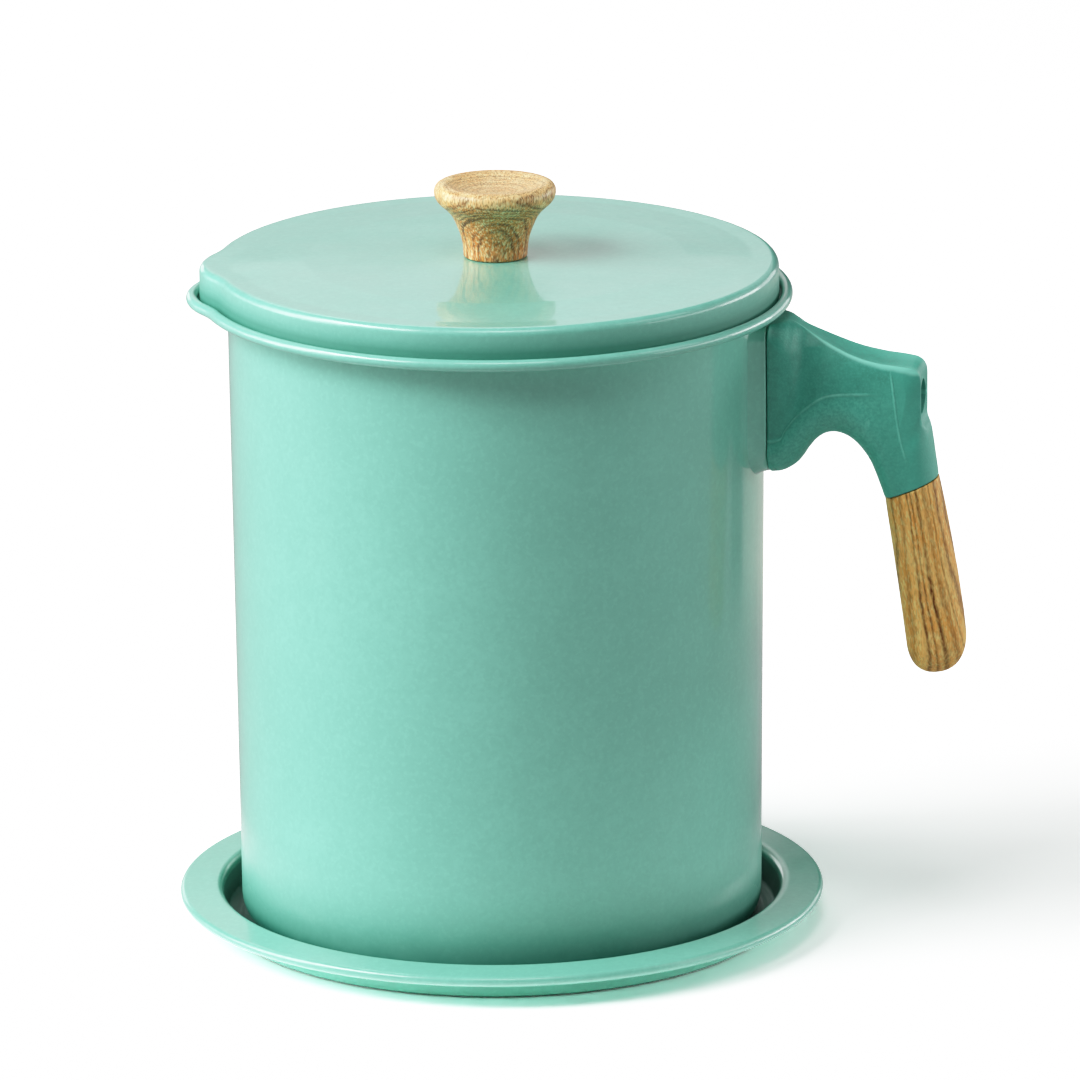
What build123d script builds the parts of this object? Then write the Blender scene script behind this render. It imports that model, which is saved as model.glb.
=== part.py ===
from build123d import *
import os
from math import acos, atan2, cos, degrees, radians, sin, sqrt

os.makedirs("parts", exist_ok=True)

# ---------------------------------------------------------------------------
# Grease pot with drip tray, strainer, lid and side handle.
# Millimetres, +Z up. Origin: centre of the tray's flat underside, which is
# what the whole thing stands on. +X points along the handle. The pouring nose
# is nearly opposite the handle.
# ---------------------------------------------------------------------------

# --- drip tray ---------------------------------------------------------------
TRAY_T = 0.9            # sheet thickness
TRAY_R_FLOOR = 60.6     # where the flat floor starts to turn up
TRAY_R_WALL_BOT = 62.9  # outside of the side wall, low down
TRAY_R_WALL_TOP = 64.1  # outside of the side wall, under the flange
TRAY_Z_FLANGE = 8.4     # top of the flange at its inner edge
TRAY_Z_FLANGE_OUT = 7.9 # top of the flange at its outer edge
TRAY_R_OUT = 72.7       # outside of the rolled edge
TRAY_BEAD = 1.15        # radius of the rolled edge

# --- pot ---------------------------------------------------------------------
POT_T = 0.8             # sheet thickness
POT_Z0 = TRAY_T         # the pot stands on the tray's floor
POT_R_BOT = 58.72       # outside radius low down
POT_Z_BOT = 15.0
POT_R_TOP = 59.93       # outside radius under the rim
POT_CORNER = 9.0        # radius of the drawn bottom corner
POT_FOOT_R = 46.0       # inside this radius the base is set up by POT_FOOT_H
POT_FOOT_H = 0.9
LEDGE_Z = 143.0         # underside of the flat ledge that the wall turns into
LEDGE_T = 0.8
BEAD_R = 1.3            # rolled rim
BEAD_Z = 144.75

# --- plan of the rim, with its pouring nose (at the middle of the rolled rim) -
NOSE_AZ = 192.0         # direction of the nose, degrees from +X
RIM_R = 64.85           # round part
NOSE_TIP = 67.75        # distance of the nose's tip from the axis
NOSE_R = 24.0           # radius of the nose's tip
NOSE_BLEND = 30.0       # hollow blend between the nose and the round part

# --- lid ---------------------------------------------------------------------
LID_IN = 1.75           # lid's side lies this far inside the rim's middle line
LID_T = 0.8
LID_Z_TOP = 152.5       # top of the flat border
LID_Z_BOT = 144.15
LID_EDGE_R = 1.7
LID_BORDER_R = 56.3     # the middle rises inside this radius
LID_DISC_R = 46.0       # and is almost flat inside this one
LID_DISC_Z = 153.05
LID_SEAT_R = 9.0        # flat seat for the knob
LID_MID_Z = 153.25

# --- knob --------------------------------------------------------------------
# (radius, height above the lid)
KNOB_PROFILE = [(7.15, 0.0), (7.22, 2.0), (7.62, 4.4), (8.35, 6.6), (9.20, 8.5),
                (10.50, 10.5), (12.10, 12.05), (13.25, 13.4), (13.63, 14.8),
                (13.15, 16.15), (11.90, 16.9), (10.60, 16.8), (8.0, 16.15),
                (4.0, 15.45), (0.0, 15.2)]
KNOB_SCREW_R = 2.0
KNOB_SCREW_TOP = 10.5   # end of the thread above the lid
INSERT_R = 3.6
INSERT_L = 11.0

# --- strainer ----------------------------------------------------------------
STR_T = 0.6
STR_FLANGE_R = 62.0
STR_R_TOP = 58.1        # outside of the cup, at the top
STR_R_BOT = 57.5        # outside of the cup, at the bottom
STR_Z_SEAT = LEDGE_Z + LEDGE_T + 0.05
STR_Z_BOT = 98.0        # underside of the cup's inner lip
STR_LIP_R = 50.5        # open mesh window
MESH_R = 53.0
MESH_T = 0.5
MESH_DISH = 3.0         # how far the mesh sags in its middle

# --- handle ------------------------------------------------------------------
SEAM_X = 62.4           # face where the arm meets the bracket
BRACKET_HW = 10.6       # half width at the seam
BRACKET_FLARE = 1.6     # how much wider it is on each side at the wall
BRACKET_Z0 = 107.0
BRACKET_Z1 = 141.6
BRACKET_RB = 8.8        # lower corners
BRACKET_RT = 3.0        # upper corners
BRACKET_T = 1.0
ARM_HW = 7.0            # half width of the arm's outer part
SCREW_Z = 124.6
SCREW_R = 2.0
SCREW_HEAD_X = 90.2     # seat of the screw's head, in the arm
RECESS_R = 3.95         # recess for the head
BOSS_R = 4.2
BOSS_L = 8.0

# Side view of the arm, (x, z). Upper line with the hollow for the thumb, back
# face with its flat for the screw, then down to the joint with the grip.
ARM_UPPER = [(67.0, 141.6), (72.1, 138.8), (76.7, 136.5), (81.7, 134.5),
             (87.0, 133.3), (92.0, 132.7)]
ARM_BACK_TOP = [(92.0, 132.7), (95.3, 131.6), (96.35, 128.9)]
ARM_FLAT_Z = 119.6
ARM_BACK_LOW = [(96.35, 119.6), (97.6, 117.6), (98.3, 114.6), (98.85, 110.8),
                (99.6, 106.4)]
JOINT_OUT = (99.6, 106.4)
JOINT_IN = (87.7, 101.6)
# Under side of the arm, from the joint over the finger arch to the seam.
ARM_UNDER = [(87.7, 101.6), (86.6, 104.9), (85.0, 109.0), (82.8, 113.0),
             (80.0, 115.6), (76.5, 116.6), (73.5, 115.5), (71.2, 113.2),
             (69.4, 110.2), (67.4, 108.4), (64.6, 107.3), (SEAM_X, 107.0)]

# Side view of the grip.
GRIP_OUT = [(99.6, 106.4), (101.25, 98.6), (103.35, 87.4), (105.0, 77.5),
            (105.8, 70.6), (105.5, 66.6), (103.9, 63.6), (101.4, 61.9),
            (98.7, 61.4), (96.2, 61.9), (94.2, 63.4), (92.9, 66.8)]
GRIP_IN = [(92.9, 66.8), (91.8, 73.4), (90.6, 82.2), (89.3, 91.0),
           (88.3, 97.4), (87.7, 101.6)]
GRIP_HW = 6.8


# ---------------------------------------------------------------------------
# Plan curve of the rim: four tangent arcs, offset outwards by delta.
# ---------------------------------------------------------------------------
def rotz(x, y, deg):
    a = radians(deg)
    return (x * cos(a) - y * sin(a), x * sin(a) + y * cos(a))


NOSE_D = NOSE_TIP - NOSE_R
_ob = RIM_R + NOSE_BLEND
_nb = NOSE_R + NOSE_BLEND
NOSE_A = acos((_ob ** 2 + NOSE_D ** 2 - _nb ** 2) / (2 * NOSE_D * _ob))
BLEND_C = (_ob * cos(NOSE_A), _ob * sin(NOSE_A))
NOSE_G = atan2(BLEND_C[1], BLEND_C[0] - NOSE_D)


def plan_wire(delta, z=0.0):
    """Closed outline of the rim, delta outside its middle line."""
    r, rn, rb = RIM_R + delta, NOSE_R + delta, NOSE_BLEND - delta
    p1 = (r * cos(NOSE_A), r * sin(NOSE_A))
    p2 = (NOSE_D + rn * cos(NOSE_G), rn * sin(NOSE_G))
    mx, my = (p1[0] + p2[0]) / 2 - BLEND_C[0], (p1[1] + p2[1]) / 2 - BLEND_C[1]
    ml = sqrt(mx * mx + my * my)
    pm = (BLEND_C[0] + rb * mx / ml, BLEND_C[1] + rb * my / ml)
    tip = (NOSE_D + rn, 0.0)

    def v(p, s=1):
        q = rotz(p[0], s * p[1], NOSE_AZ)
        return (q[0], q[1], z)

    return Wire([
        ThreePointArc(v(p1), v((-r, 0.0)), v(p1, -1)),
        ThreePointArc(v(p1, -1), v(pm, -1), v(p2, -1)),
        ThreePointArc(v(p2, -1), v(tip), v(p2)),
        ThreePointArc(v(p2), v(pm), v(p1)),
    ])


def plan_face(delta, z=0.0):
    return Face(plan_wire(delta, z))


def ring_of_arcs(section_r, z):
    """Round bar of radius section_r that follows the rim's middle line."""
    def bar(cx, cy, radius, start_deg, sweep_deg):
        c = rotz(cx, cy, NOSE_AZ)
        ax = Axis((c[0], c[1], 0), (0, 0, 1))
        a = radians(start_deg)
        pl = Plane(origin=(c[0] + radius * cos(a), c[1] + radius * sin(a), z),
                   x_dir=(cos(a), sin(a), 0), z_dir=(sin(a), -cos(a), 0))
        return revolve(pl * Circle(section_r), axis=ax, revolution_arc=sweep_deg)

    a, g = degrees(NOSE_A), degrees(NOSE_G)
    main = bar(0, 0, RIM_R, NOSE_AZ + a, 360 - 2 * a)
    nose = bar(NOSE_D, 0, NOSE_R, NOSE_AZ - g, 2 * g)
    # the blends turn the other way about their own centres, outside the rim
    up = bar(BLEND_C[0], BLEND_C[1], NOSE_BLEND, NOSE_AZ + 180 + a, g - a)
    dn = bar(BLEND_C[0], -BLEND_C[1], NOSE_BLEND, NOSE_AZ + 180 - g, g - a)
    return main + up + nose + dn


def wall_r(z):
    """Outside radius of the pot's slightly tapered wall."""
    return POT_R_BOT + (POT_R_TOP - POT_R_BOT) * (z - POT_Z_BOT) / (143.0 - POT_Z_BOT)


def lathe(pts_edges):
    """Solid of revolution about Z from edges drawn in the XZ plane."""
    return revolve(make_face(pts_edges), axis=Axis.Z)


# ---------------------------------------------------------------------------
# Drip tray
# ---------------------------------------------------------------------------
# rounded inner and outer lines of one pressed sheet: floor, wall, flange
fl_out = TRAY_R_OUT - TRAY_BEAD
tray_line = [
    Line((0, 0, 0), (TRAY_R_FLOOR, 0, 0)),
    ThreePointArc((TRAY_R_FLOOR, 0, 0), (62.15, 0, 0.72), (TRAY_R_WALL_BOT, 0, 2.6)),
    Line((TRAY_R_WALL_BOT, 0, 2.6), (TRAY_R_WALL_TOP, 0, 7.1)),
    Line((TRAY_R_WALL_TOP, 0, 7.1), (64.6, 0, TRAY_Z_FLANGE - TRAY_T)),
    Line((64.6, 0, TRAY_Z_FLANGE - TRAY_T), (fl_out, 0, TRAY_Z_FLANGE_OUT - TRAY_T)),
    Line((fl_out, 0, TRAY_Z_FLANGE_OUT - TRAY_T), (fl_out, 0, TRAY_Z_FLANGE_OUT)),
    Line((fl_out, 0, TRAY_Z_FLANGE_OUT), (64.7, 0, TRAY_Z_FLANGE)),
    ThreePointArc((64.7, 0, TRAY_Z_FLANGE), (63.72, 0, 8.08), (63.25, 0, 7.2)),
    Line((63.25, 0, 7.2), (62.05, 0, 2.8)),
    ThreePointArc((62.05, 0, 2.8), (61.5, 0, 1.42), (TRAY_R_FLOOR, 0, TRAY_T)),
    Line((TRAY_R_FLOOR, 0, TRAY_T), (0, 0, TRAY_T)),
    Line((0, 0, TRAY_T), (0, 0, 0)),
]
tray_bead = Torus(TRAY_R_OUT - TRAY_BEAD, TRAY_BEAD).moved(
    Location((0, 0, TRAY_Z_FLANGE_OUT - TRAY_BEAD)))
tray = lathe(tray_line) + tray_bead

# ---------------------------------------------------------------------------
# Pot: drawn can with a rounded bottom corner, its wall turned out into a flat
# ledge that ends in a rolled rim, the rim drawn out into a small nose.
# ---------------------------------------------------------------------------
z_c = POT_Z0 + POT_CORNER
rc_o = wall_r(z_c) - POT_CORNER
k = sin(radians(45))
ri = POT_CORNER - POT_T
top_o, top_i = wall_r(LEDGE_Z + LEDGE_T), wall_r(LEDGE_Z + LEDGE_T) - POT_T
pot_line = [
    Line((0, 0, POT_Z0 + POT_FOOT_H), (POT_FOOT_R, 0, POT_Z0 + POT_FOOT_H)),
    Line((POT_FOOT_R, 0, POT_Z0 + POT_FOOT_H), (POT_FOOT_R + 2.0, 0, POT_Z0)),
    Line((POT_FOOT_R + 2.0, 0, POT_Z0), (rc_o, 0, POT_Z0)),
    ThreePointArc((rc_o, 0, POT_Z0), (rc_o + POT_CORNER * k, 0, z_c - POT_CORNER * k),
                  (rc_o + POT_CORNER, 0, z_c)),
    Line((rc_o + POT_CORNER, 0, z_c), (top_o, 0, LEDGE_Z + LEDGE_T)),
    Line((top_o, 0, LEDGE_Z + LEDGE_T), (top_i, 0, LEDGE_Z + LEDGE_T)),
    Line((top_i, 0, LEDGE_Z + LEDGE_T), (rc_o + ri, 0, z_c)),
    ThreePointArc((rc_o + ri, 0, z_c), (rc_o + ri * k, 0, z_c - ri * k),
                  (rc_o, 0, POT_Z0 + POT_T)),
    Line((rc_o, 0, POT_Z0 + POT_T), (POT_FOOT_R + 2.4, 0, POT_Z0 + POT_T)),
    Line((POT_FOOT_R + 2.4, 0, POT_Z0 + POT_T),
         (POT_FOOT_R + 0.4, 0, POT_Z0 + POT_FOOT_H + POT_T)),
    Line((POT_FOOT_R + 0.4, 0, POT_Z0 + POT_FOOT_H + POT_T),
         (0, 0, POT_Z0 + POT_FOOT_H + POT_T)),
    Line((0, 0, POT_Z0 + POT_FOOT_H + POT_T), (0, 0, POT_Z0 + POT_FOOT_H)),
]
can = lathe(pot_line)
ledge = extrude(plan_face(0.0, LEDGE_Z), amount=LEDGE_T, dir=(0, 0, 1)) - \
    Cylinder(top_i + 0.02, 10).moved(Location((0, 0, LEDGE_Z)))
# small collar under the ledge, the outside of the bend from wall to ledge
bend_line = [
    Line((top_o - 0.4, 0, LEDGE_Z + 0.2), (top_o + 1.6, 0, LEDGE_Z + 0.2)),
    ThreePointArc((top_o + 1.6, 0, LEDGE_Z + 0.2), (top_o + 0.45, 0, LEDGE_Z - 0.5),
                  (top_o - 0.02, 0, LEDGE_Z - 1.7)),
    Line((top_o - 0.02, 0, LEDGE_Z - 1.7), (top_o - 0.4, 0, LEDGE_Z - 1.7)),
    Line((top_o - 0.4, 0, LEDGE_Z - 1.7), (top_o - 0.4, 0, LEDGE_Z + 0.2)),
]
bend = lathe(bend_line)
bead = ring_of_arcs(BEAD_R, BEAD_Z)
pot_body = can + bend + ledge + bead

# ---------------------------------------------------------------------------
# Lid: pressed cap whose side drops inside the rolled rim onto the ledge.
# ---------------------------------------------------------------------------
lid_out = extrude(plan_face(-LID_IN, LID_Z_BOT), amount=LID_Z_TOP - LID_Z_BOT,
                  dir=(0, 0, 1))
lid_out = fillet(lid_out.edges().group_by(Axis.Z)[-1], LID_EDGE_R)
lid_in = extrude(plan_face(-LID_IN - LID_T, LID_Z_BOT - 1.0),
                 amount=LID_Z_TOP - LID_T - LID_Z_BOT + 1.0, dir=(0, 0, 1))
lid_in = fillet(lid_in.edges().group_by(Axis.Z)[-1], LID_EDGE_R - LID_T)


def raised(shift):
    """The slightly raised middle, its upper face moved down by shift."""
    z0 = LID_Z_TOP - 0.5 - shift
    return lathe([
        Line((0, 0, z0), (LID_BORDER_R, 0, z0)),
        Line((LID_BORDER_R, 0, z0), (LID_BORDER_R, 0, LID_Z_TOP - shift)),
        Line((LID_BORDER_R, 0, LID_Z_TOP - shift), (LID_DISC_R, 0, LID_DISC_Z - shift)),
        Line((LID_DISC_R, 0, LID_DISC_Z - shift), (LID_SEAT_R, 0, LID_MID_Z - shift)),
        Line((LID_SEAT_R, 0, LID_MID_Z - shift), (0, 0, LID_MID_Z - shift)),
        Line((0, 0, LID_MID_Z - shift), (0, 0, z0)),
    ])


lid = (lid_out + raised(0.0)) - (lid_in + raised(LID_T))
lid -= Cylinder(KNOB_SCREW_R + 0.25, 6).moved(Location((0, 0, LID_Z_TOP)))

# ---------------------------------------------------------------------------
# Knob, the threaded insert moulded in its foot, its screw and washer
# ---------------------------------------------------------------------------
kp = [(r, 0, LID_MID_Z + h) for r, h in KNOB_PROFILE]
knob_edges = [
    Line((0, 0, LID_MID_Z), kp[0]),
    Spline(*kp[:9]),
    ThreePointArc(kp[8], kp[9], kp[10]),
    Spline(*kp[10:]),
    Line(kp[-1], (0, 0, LID_MID_Z)),
]
knob = lathe(knob_edges)
insert_z0 = LID_MID_Z + 0.2
knob -= Cylinder(INSERT_R, INSERT_L + 0.2, align=(Align.CENTER, Align.CENTER, Align.MIN)).moved(
    Location((0, 0, LID_MID_Z)))
knob_insert = Cylinder(INSERT_R, INSERT_L, align=(Align.CENTER, Align.CENTER, Align.MIN)).moved(
    Location((0, 0, insert_z0)))
for gz in (3.4, 6.9):  # grip grooves round the insert
    knob_insert -= (Cylinder(INSERT_R + 0.5, 0.9) - Cylinder(INSERT_R - 0.45, 0.9)).moved(
        Location((0, 0, insert_z0 + gz)))
knob_insert -= Cylinder(KNOB_SCREW_R + 0.03, INSERT_L + 2, align=(Align.CENTER, Align.CENTER, Align.MIN)).moved(
    Location((0, 0, insert_z0 - 1)))

lid_under = LID_MID_Z - LID_T
knob_washer = (Cylinder(5.0, 0.8) - Cylinder(KNOB_SCREW_R + 0.2, 2)).moved(
    Location((0, 0, lid_under - 0.4)))
head_top = lid_under - 0.8


def pan_head(r, h):
    """Domed screw head, flat side at z = 0, dome towards -z, with a cross slot."""
    arc = [
        Line((0, 0, 0), (r, 0, 0)),
        Line((r, 0, 0), (r, 0, -h * 0.45)),
        ThreePointArc((r, 0, -h * 0.45), (r * 0.78, 0, -h * 0.86), (0, 0, -h)),
        Line((0, 0, -h), (0, 0, 0)),
    ]
    s = lathe(arc)
    slot = Box(r * 1.15, 0.9, h * 1.1) + Box(0.9, r * 1.15, h * 1.1)
    return s - slot.moved(Location((0, 0, -h - 0.02)))


knob_screw = pan_head(3.8, 2.5).moved(Location((0, 0, head_top))) + \
    Cylinder(KNOB_SCREW_R, LID_MID_Z + KNOB_SCREW_TOP - head_top + 0.3,
             align=(Align.CENTER, Align.CENTER, Align.MIN)).moved(Location((0, 0, head_top - 0.3)))

# ---------------------------------------------------------------------------
# Strainer: flanged cup that hangs on the pot's ledge, a mesh in its floor and
# the ring that clamps the mesh down on the cup's inner lip.
# ---------------------------------------------------------------------------
fz0, fz1 = STR_Z_SEAT, STR_Z_SEAT + STR_T
cup_line = [
    Line((STR_FLANGE_R, 0, fz0), (STR_FLANGE_R, 0, fz1)),
    Line((STR_FLANGE_R, 0, fz1), (STR_R_TOP - STR_T + 1.2, 0, fz1)),
    ThreePointArc((STR_R_TOP - STR_T + 1.2, 0, fz1), (STR_R_TOP - STR_T + 0.35, 0, fz1 - 0.35),
                  (STR_R_TOP - STR_T, 0, fz1 - 1.2)),
    Line((STR_R_TOP - STR_T, 0, fz1 - 1.2), (STR_R_BOT - STR_T, 0, STR_Z_BOT + 3.0)),
    ThreePointArc((STR_R_BOT - STR_T, 0, STR_Z_BOT + 3.0),
                  (STR_R_BOT - STR_T - 0.7, 0, STR_Z_BOT + STR_T + 0.7),
                  (STR_R_BOT - STR_T - 2.4, 0, STR_Z_BOT + STR_T)),
    Line((STR_R_BOT - STR_T - 2.4, 0, STR_Z_BOT + STR_T), (STR_LIP_R, 0, STR_Z_BOT + STR_T)),
    Line((STR_LIP_R, 0, STR_Z_BOT + STR_T), (STR_LIP_R, 0, STR_Z_BOT)),
    Line((STR_LIP_R, 0, STR_Z_BOT), (STR_R_BOT - 3.0, 0, STR_Z_BOT)),
    ThreePointArc((STR_R_BOT - 3.0, 0, STR_Z_BOT), (STR_R_BOT - 0.88, 0, STR_Z_BOT + 0.88),
                  (STR_R_BOT, 0, STR_Z_BOT + 3.0)),
    Line((STR_R_BOT, 0, STR_Z_BOT + 3.0), (STR_R_TOP, 0, fz0 - 0.8)),
    Line((STR_R_TOP, 0, fz0 - 0.8), (STR_R_TOP + 0.8, 0, fz0)),
    Line((STR_R_TOP + 0.8, 0, fz0), (STR_FLANGE_R, 0, fz0)),
]
strainer_cup = lathe(cup_line)

mz = STR_Z_BOT + STR_T
dish_r = ((STR_LIP_R - 0.6) ** 2 + MESH_DISH ** 2) / (2 * MESH_DISH)
dish_mid = mz - MESH_DISH + dish_r - sqrt(dish_r ** 2 - 26.0 ** 2)
mesh_line = [
    Line((0, 0, mz - MESH_DISH), (0, 0, mz - MESH_DISH + MESH_T)),
    ThreePointArc((0, 0, mz - MESH_DISH + MESH_T), (26.0, 0, dish_mid + MESH_T),
                  (STR_LIP_R - 0.6, 0, mz + MESH_T)),
    Line((STR_LIP_R - 0.6, 0, mz + MESH_T), (MESH_R, 0, mz + MESH_T)),
    Line((MESH_R, 0, mz + MESH_T), (MESH_R, 0, mz)),
    Line((MESH_R, 0, mz), (STR_LIP_R - 0.6, 0, mz)),
    ThreePointArc((STR_LIP_R - 0.6, 0, mz), (26.0, 0, dish_mid),
                  (0, 0, mz - MESH_DISH)),
]
strainer_mesh = lathe(mesh_line)

ring_line = [
    Line((STR_LIP_R + 0.2, 0, mz + MESH_T), (MESH_R, 0, mz + MESH_T)),
    Line((MESH_R, 0, mz + MESH_T), (MESH_R + 0.05, 0, mz)),
    Line((MESH_R + 0.05, 0, mz), (MESH_R + 0.75, 0, mz)),
    Line((MESH_R + 0.75, 0, mz), (MESH_R + 0.75, 0, mz + MESH_T + 0.7)),
    Line((MESH_R + 0.75, 0, mz + MESH_T + 0.7), (MESH_R + 0.3, 0, mz + MESH_T + 1.1)),
    Line((MESH_R + 0.3, 0, mz + MESH_T + 1.1), (STR_LIP_R + 0.5, 0, mz + MESH_T + 1.1)),
    Line((STR_LIP_R + 0.5, 0, mz + MESH_T + 1.1), (STR_LIP_R + 0.2, 0, mz + MESH_T + 0.8)),
    Line((STR_LIP_R + 0.2, 0, mz + MESH_T + 0.8), (STR_LIP_R + 0.2, 0, mz + MESH_T)),
]
mesh_ring = lathe(ring_line)

# ---------------------------------------------------------------------------
# Handle bracket: pressed cup welded to the pot's wall, with a threaded boss
# ---------------------------------------------------------------------------
def slab_outline(x, hw, z0, z1, rb, rt):
    """Upright rounded outline in the plane at x, facing +X."""
    kb, kt = rb * (1 - sin(radians(45))), rt * (1 - sin(radians(45)))
    e = [
        Line((x, -hw + rb, z0), (x, hw - rb, z0)),
        ThreePointArc((x, hw - rb, z0), (x, hw - kb, z0 + kb), (x, hw, z0 + rb)),
        Line((x, hw, z0 + rb), (x, hw, z1 - rt)),
        ThreePointArc((x, hw, z1 - rt), (x, hw - kt, z1 - kt), (x, hw - rt, z1)),
        Line((x, hw - rt, z1), (x, -hw + rt, z1)),
        ThreePointArc((x, -hw + rt, z1), (x, -hw + kt, z1 - kt), (x, -hw, z1 - rt)),
        Line((x, -hw, z1 - rt), (x, -hw, z0 + rb)),
        ThreePointArc((x, -hw, z0 + rb), (x, -hw + kb, z0 + kb), (x, -hw + rb, z0)),
    ]
    return make_face(e)


wall_cone = lathe([
    Line((0, 0, 95.0), (wall_r(95.0), 0, 95.0)),
    Line((wall_r(95.0), 0, 95.0), (wall_r(150.0), 0, 150.0)),
    Line((wall_r(150.0), 0, 150.0), (0, 0, 150.0)),
    Line((0, 0, 150.0), (0, 0, 95.0)),
])
x_back = 57.0
f = BRACKET_FLARE
br_out = loft([
    slab_outline(x_back, BRACKET_HW + f + 1.0, BRACKET_Z0 - f * 0.6, BRACKET_Z1 + 0.0,
                 BRACKET_RB + f, BRACKET_RT),
    slab_outline(SEAM_X, BRACKET_HW, BRACKET_Z0, BRACKET_Z1, BRACKET_RB, BRACKET_RT),
])
br_in = loft([
    slab_outline(x_back, BRACKET_HW + f + 1.0 - BRACKET_T, BRACKET_Z0 - f * 0.6 + BRACKET_T,
                 BRACKET_Z1 - BRACKET_T, BRACKET_RB + f - BRACKET_T, BRACKET_RT - BRACKET_T),
    slab_outline(SEAM_X - BRACKET_T, BRACKET_HW - BRACKET_T, BRACKET_Z0 + BRACKET_T,
                 BRACKET_Z1 - BRACKET_T, BRACKET_RB - BRACKET_T, BRACKET_RT - BRACKET_T),
])
boss_cut = Cylinder(BOSS_R, 40, rotation=(0, 90, 0)).moved(Location((SEAM_X, 0, SCREW_Z)))
handle_bracket = br_out - br_in - wall_cone - bend - boss_cut

boss_x0 = SEAM_X - BRACKET_T
bracket_boss = Cylinder(BOSS_R, BRACKET_T + BOSS_L, rotation=(0, 90, 0)).moved(
    Location((boss_x0 + (BRACKET_T + BOSS_L) / 2, 0, SCREW_Z)))
bracket_boss -= Cylinder(SCREW_R + 0.03, 40, rotation=(0, 90, 0)).moved(
    Location((SEAM_X, 0, SCREW_Z)))

# ---------------------------------------------------------------------------
# Handle arm
# ---------------------------------------------------------------------------
def side(p):
    return (p[0], 0, p[1])


arm_edges = [
    Line(side((SEAM_X, BRACKET_Z1)), side(ARM_UPPER[0])),
    Spline(*[side(p) for p in ARM_UPPER], tangents=[(1, 0, -0.25), (1, 0, -0.12)]),
    ThreePointArc(side(ARM_BACK_TOP[0]), side(ARM_BACK_TOP[1]), side(ARM_BACK_TOP[2])),
    Line(side(ARM_BACK_TOP[2]), side((96.35, ARM_FLAT_Z))),
    Spline(*[side(p) for p in ARM_BACK_LOW]),
    Line(side(JOINT_OUT), side(JOINT_IN)),
    Spline(*[side(p) for p in ARM_UNDER]),
    Line(side((SEAM_X, ARM_UNDER[-1][1])), side((SEAM_X, BRACKET_Z1))),
]
arm_side = extrude(make_face(arm_edges), amount=BRACKET_HW + 1, dir=(0, 1, 0), both=True)
# seen from above: wide at the seam, waisting in to the slim outer part
hw, aw = BRACKET_HW, ARM_HW
plan_pts = [(SEAM_X, hw), (66.0, hw - 0.25), (71.0, hw - 1.2), (77.0, hw - 2.5),
            (84.0, aw + 0.25), (90.0, aw), (110.0, aw)]
plan_edges = [
    Spline(*[(x, y, 95.0) for x, y in plan_pts[:-1]], tangents=[(1, 0, 0), (1, 0, 0)]),
    Line((90.0, aw, 95.0), (110.0, aw, 95.0)),
    Line((110.0, aw, 95.0), (110.0, -aw, 95.0)),
    Line((110.0, -aw, 95.0), (90.0, -aw, 95.0)),
    Spline(*[(x, -y, 95.0) for x, y in reversed(plan_pts[:-1])], tangents=[(-1, 0, 0), (-1, 0, 0)]),
    Line((SEAM_X, -hw, 95.0), (SEAM_X, hw, 95.0)),
]
arm = arm_side & extrude(make_face(plan_edges), amount=55, dir=(0, 0, 1))
# rounded over at the root, to match the bracket
root_keep = extrude(slab_outline(SEAM_X - 1, BRACKET_HW, BRACKET_Z0, BRACKET_Z1,
                                 BRACKET_RB, BRACKET_RT), amount=20, dir=(1, 0, 0))
root_cut = Box(19, 40, 60).moved(Location((SEAM_X - 1 + 9.5, 0, 124.0))) - root_keep
arm -= root_cut
# tang that carries the grip
ax0 = ((JOINT_IN[0] + JOINT_OUT[0]) / 2, (JOINT_IN[1] + JOINT_OUT[1]) / 2)
ax1 = (98.6, 74.0)
tl = sqrt((ax1[0] - ax0[0]) ** 2 + (ax1[1] - ax0[1]) ** 2)
tdir = ((ax1[0] - ax0[0]) / tl, 0, (ax1[1] - ax0[1]) / tl)
tang_plane = Plane(origin=(ax0[0] - tdir[0] * 4, 0, ax0[1] - tdir[2] * 4),
                   x_dir=(0, 1, 0), z_dir=tdir)
tang = extrude(tang_plane * RectangleRounded(6.0, 7.0, 1.5), amount=tl + 4)
socket = extrude(tang_plane * RectangleRounded(6.1, 7.1, 1.55), amount=tl + 4.3)
arm += tang
# screw passage: boss pocket, clearance hole and the recess for the head
arm -= Cylinder(BOSS_R + 0.05, BOSS_L + 0.2, rotation=(0, 90, 0)).moved(
    Location((SEAM_X + (BOSS_L + 0.2) / 2, 0, SCREW_Z)))
arm -= Cylinder(SCREW_R + 0.2, 40, rotation=(0, 90, 0)).moved(
    Location((SEAM_X + 20, 0, SCREW_Z)))
arm -= Cylinder(RECESS_R, 20, rotation=(0, 90, 0)).moved(
    Location((SCREW_HEAD_X + 10, 0, SCREW_Z)))
handle_arm = arm

handle_washer = (Cylinder(3.75, 0.8, rotation=(0, 90, 0)) -
                 Cylinder(SCREW_R + 0.15, 3, rotation=(0, 90, 0))).moved(
    Location((SCREW_HEAD_X + 0.4, 0, SCREW_Z)))
screw_tip = SEAM_X + 0.5
handle_screw = pan_head(3.4, 2.6).rotate(Axis.Y, -90).moved(
    Location((SCREW_HEAD_X + 0.8, 0, SCREW_Z))) + \
    Cylinder(SCREW_R, SCREW_HEAD_X + 0.8 - screw_tip + 0.3, rotation=(0, 90, 0)).moved(
        Location(((screw_tip + SCREW_HEAD_X + 1.1) / 2, 0, SCREW_Z)))

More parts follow.
